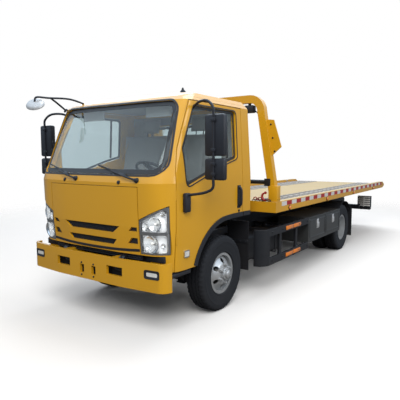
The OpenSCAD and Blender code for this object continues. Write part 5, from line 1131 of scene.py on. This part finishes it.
for side in (1, -1):
    for dy in (-0.085, 0.085):
        for dx in (0.285, 0.315):
            hex_bolt(fittings, at(side * dx, WINCH_Y + dy, 1.054), (0, 0, 1), 0.010)
for dz in (-0.05, 0.05):
    for dy in (-0.07, 0.07):
        hex_bolt(fittings, at(-0.292, WINCH_Y + dy, WINCH_Z + dz), (-1, 0, 0), 0.009)
turned(fittings, [(0.061, 0.0), (0.061, 0.012), (0.050, 0.030), (0.0, 0.034)], at(0.449, WINCH_Y, WINCH_Z),
       (1, 0, 0), 32)
piece(fittings, "winch_fittings", frame_black, "bed")
hook_red = finish("hook_red", (0.30, 0.016, 0.012), 0.38, coat=0.4, grain=200.0, bump=0.2, wear=0.5,
                  soft_edge=0.002)
HOOK_Y = 0.868
hook = bmesh.new()
curve = [at(0.905 + 0.045 * math.cos(a), HOOK_Y, 1.160 + 0.045 * math.sin(a)) for a in
         (math.radians(80 + 24 * k) for k in range(11))]
tube(hook, curve, [0.007, 0.010, 0.012, 0.014, 0.015, 0.015, 0.014, 0.012, 0.010, 0.008, 0.005], 12)
turned(hook, [(0.016, -0.006), (0.016, 0.006)], at(0.905, HOOK_Y, 1.205), (0, 1, 0), 20)
for dx in (0.0, -0.06):
    tube(hook, [at(0.830 + dx + 0.024 * math.cos(a), HOOK_Y, 1.130 + 0.016 * math.sin(a)) for a in
                (math.tau * k / 16 for k in range(16))], 0.006, 8, closed=True)
piece(hook, "stowed_hook", hook_red, "bed")
chain = bmesh.new()
for k in range(9):
    x, z = 0.955 - k * 0.026, 1.112 + 0.010 * math.sin(k * 1.3)
    flat = k % 2
    link = []
    for i in range(16):
        a = math.tau * i / 16
        along, across = 0.021 * math.cos(a), 0.012 * math.sin(a)
        link.append(at(x + along, HOOK_Y + (across if flat else 0.0), z + (0.0 if flat else across)))
    tube(chain, link, 0.0045, 6, closed=True)
piece(chain, "stowed_chain", frame_black, "bed")

# Towing arm: a black box boom with a crossbar that slides out of it. The crossbar's fork sockets are
# bushed in bright steel, and red reflective bands are stuck on its rear face.
dress(frame_black, "tow_boom", "tow_crossbar")
bushes = bmesh.new()
for side in (1, -1):
    for z, way in ((0.510, 1), (0.410, -1)):
        turned(bushes, [(0.0255, 0.0), (0.0255, 0.004), (0.040, 0.004), (0.042, 0.0)],
               at(side * 0.5, 6.745, z), (0, 0, way), 36)
piece(bushes, "socket_rims", rod_chrome, "tow_crossbar")
bands = bmesh.new()
for side in (1, -1):
    for k in range(4):
        x = 0.12 + k * 0.095
        flank(bands, side, (x - 0.024, 6.7985, 0.425), (x + 0.024, 6.8015, 0.495), 0.0005)
piece(bands, "crossbar_reflectors", red_tape, "tow_crossbar")

# Studio: a pale floor that fades out, soft panels of light overhead, on the left and behind, and a
# camera at the photo's place.
scene = bpy.context.scene
scene.view_settings.view_transform = "Standard"
world = scene.world or bpy.data.worlds.new("studio")
scene.world = world
world.use_nodes = True
sky = world.node_tree
sky.nodes.clear()
rays = add(sky, "LightPath").outputs
seen = sums(sky, "MAXIMUM", rays["Is Camera Ray"], rays["Is Transmission Ray"])
pale = add(sky, "Background", {"Color": (1.0, 1.0, 1.0, 1.0), "Strength": 1.0})
soft = add(sky, "Background", {"Color": (0.93, 0.96, 1.0, 1.0), "Strength": 0.42})
rise = add(sky, "SeparateXYZ", {0: add(sky, "TexCoord").outputs["Generated"]}).outputs[2]
clear = add(sky, "MapRange", {0: rise, 1: 0.05, 2: 0.55, 3: 0.15, 4: 1.0},
            interpolation_type="SMOOTHSTEP").outputs[0]
mirrored = add(sky, "Background", {"Color": (0.66, 0.82, 1.0, 1.0), "Strength": sums(sky, "MULTIPLY", clear, 1.9)})
around = add(sky, "MixShader", {0: rays["Is Glossy Ray"], 1: soft.outputs[0], 2: mirrored.outputs[0]})
blend_sky = add(sky, "MixShader", {0: seen, 1: around.outputs[0], 2: pale.outputs[0]})
sky.links.new(blend_sky.outputs[0], add(sky, "OutputWorld").inputs[0])

floor_paint = bpy.data.materials.new("floor_paint")
floor_paint.use_nodes = True
tree = floor_paint.node_tree
tree.nodes.clear()
spot = add(tree, "TexCoord").outputs["Object"]
reach = add(tree, "VectorMath", {0: spot}, operation="LENGTH").outputs["Value"]
fade = add(tree, "MapRange", {0: reach, 1: 5.0, 2: 11.0, 3: 0.0, 4: 1.0},
           interpolation_type="SMOOTHSTEP").outputs[0]
rays = add(tree, "LightPath").outputs
seen = sums(tree, "MAXIMUM", rays["Is Camera Ray"], rays["Is Transmission Ray"])
ground = add(tree, "BsdfDiffuse", {"Color": tint(tree, seen, (0.16, 0.16, 0.16, 1.0), (0.86, 0.86, 0.86, 1.0))})
gone = add(tree, "BsdfTransparent")
mixed = add(tree, "MixShader", {0: fade, 1: ground.outputs[0], 2: gone.outputs[0]})
tree.links.new(mixed.outputs[0], add(tree, "OutputMaterial").inputs[0])
shape = bmesh.new()
bmesh.ops.create_circle(shape, cap_ends=True, segments=96, radius=12.0)
mesh = bpy.data.meshes.new("studio_floor")
shape.to_mesh(mesh)
shape.free()
mesh.materials.append(floor_paint)
floor = bpy.data.objects.new("studio_floor", mesh)
scene.collection.objects.link(floor)


def light_panel(name, place, aim, size, power, colour=(1.0, 1.0, 1.0), mirrored=True):
    """A square soft light at a place, aimed at another; mirrored lets gloss show it."""
    lamp = bpy.data.lights.new(name, "AREA")
    lamp.size = size
    lamp.energy = power
    lamp.color = colour
    held = bpy.data.objects.new(name, lamp)
    held.location = place
    held.rotation_euler = (Vector(aim) - Vector(place)).to_track_quat("-Z", "Y").to_euler()
    held.visible_glossy = mirrored
    scene.collection.objects.link(held)


light_panel("key_panel", (5.6, -10.0, 8.0), (0, 0, 1.0), 6.0, 1120.0, (1.0, 0.98, 0.95), mirrored=False)
light_panel("side_panel", (11.0, -1.0, 5.0), (0, 0.0, 1.0), 6.0, 380.0)
light_panel("back_panel", (-9.0, 6.0, 7.0), (0, 0, 1.0), 7.0, 420.0, (0.95, 0.97, 1.0))
light_panel("top_panel", (0.0, 2.5, 11.0), (0, 1.5, 0.0), 8.0, 640.0)

CAMERA_AZIMUTH = math.radians(35.13)
CAMERA_PITCH = math.radians(5.62)
FRAME_PIXELS = 400.0
FOCAL_PIXELS = 433.4
view = bpy.data.cameras.new("photo_camera")
view.sensor_width = 36.0
view.lens = FOCAL_PIXELS / FRAME_PIXELS * view.sensor_width
camera = bpy.data.objects.new("photo_camera", view)
back = Vector((math.sin(CAMERA_AZIMUTH) * math.cos(CAMERA_PITCH),
               -math.cos(CAMERA_AZIMUTH) * math.cos(CAMERA_PITCH), math.sin(CAMERA_PITCH)))
camera.location = (3.25, -6.6755, 1.629)
camera.rotation_euler = back.to_track_quat("Z", "Y").to_euler()
scene.collection.objects.link(camera)
scene.camera = camera
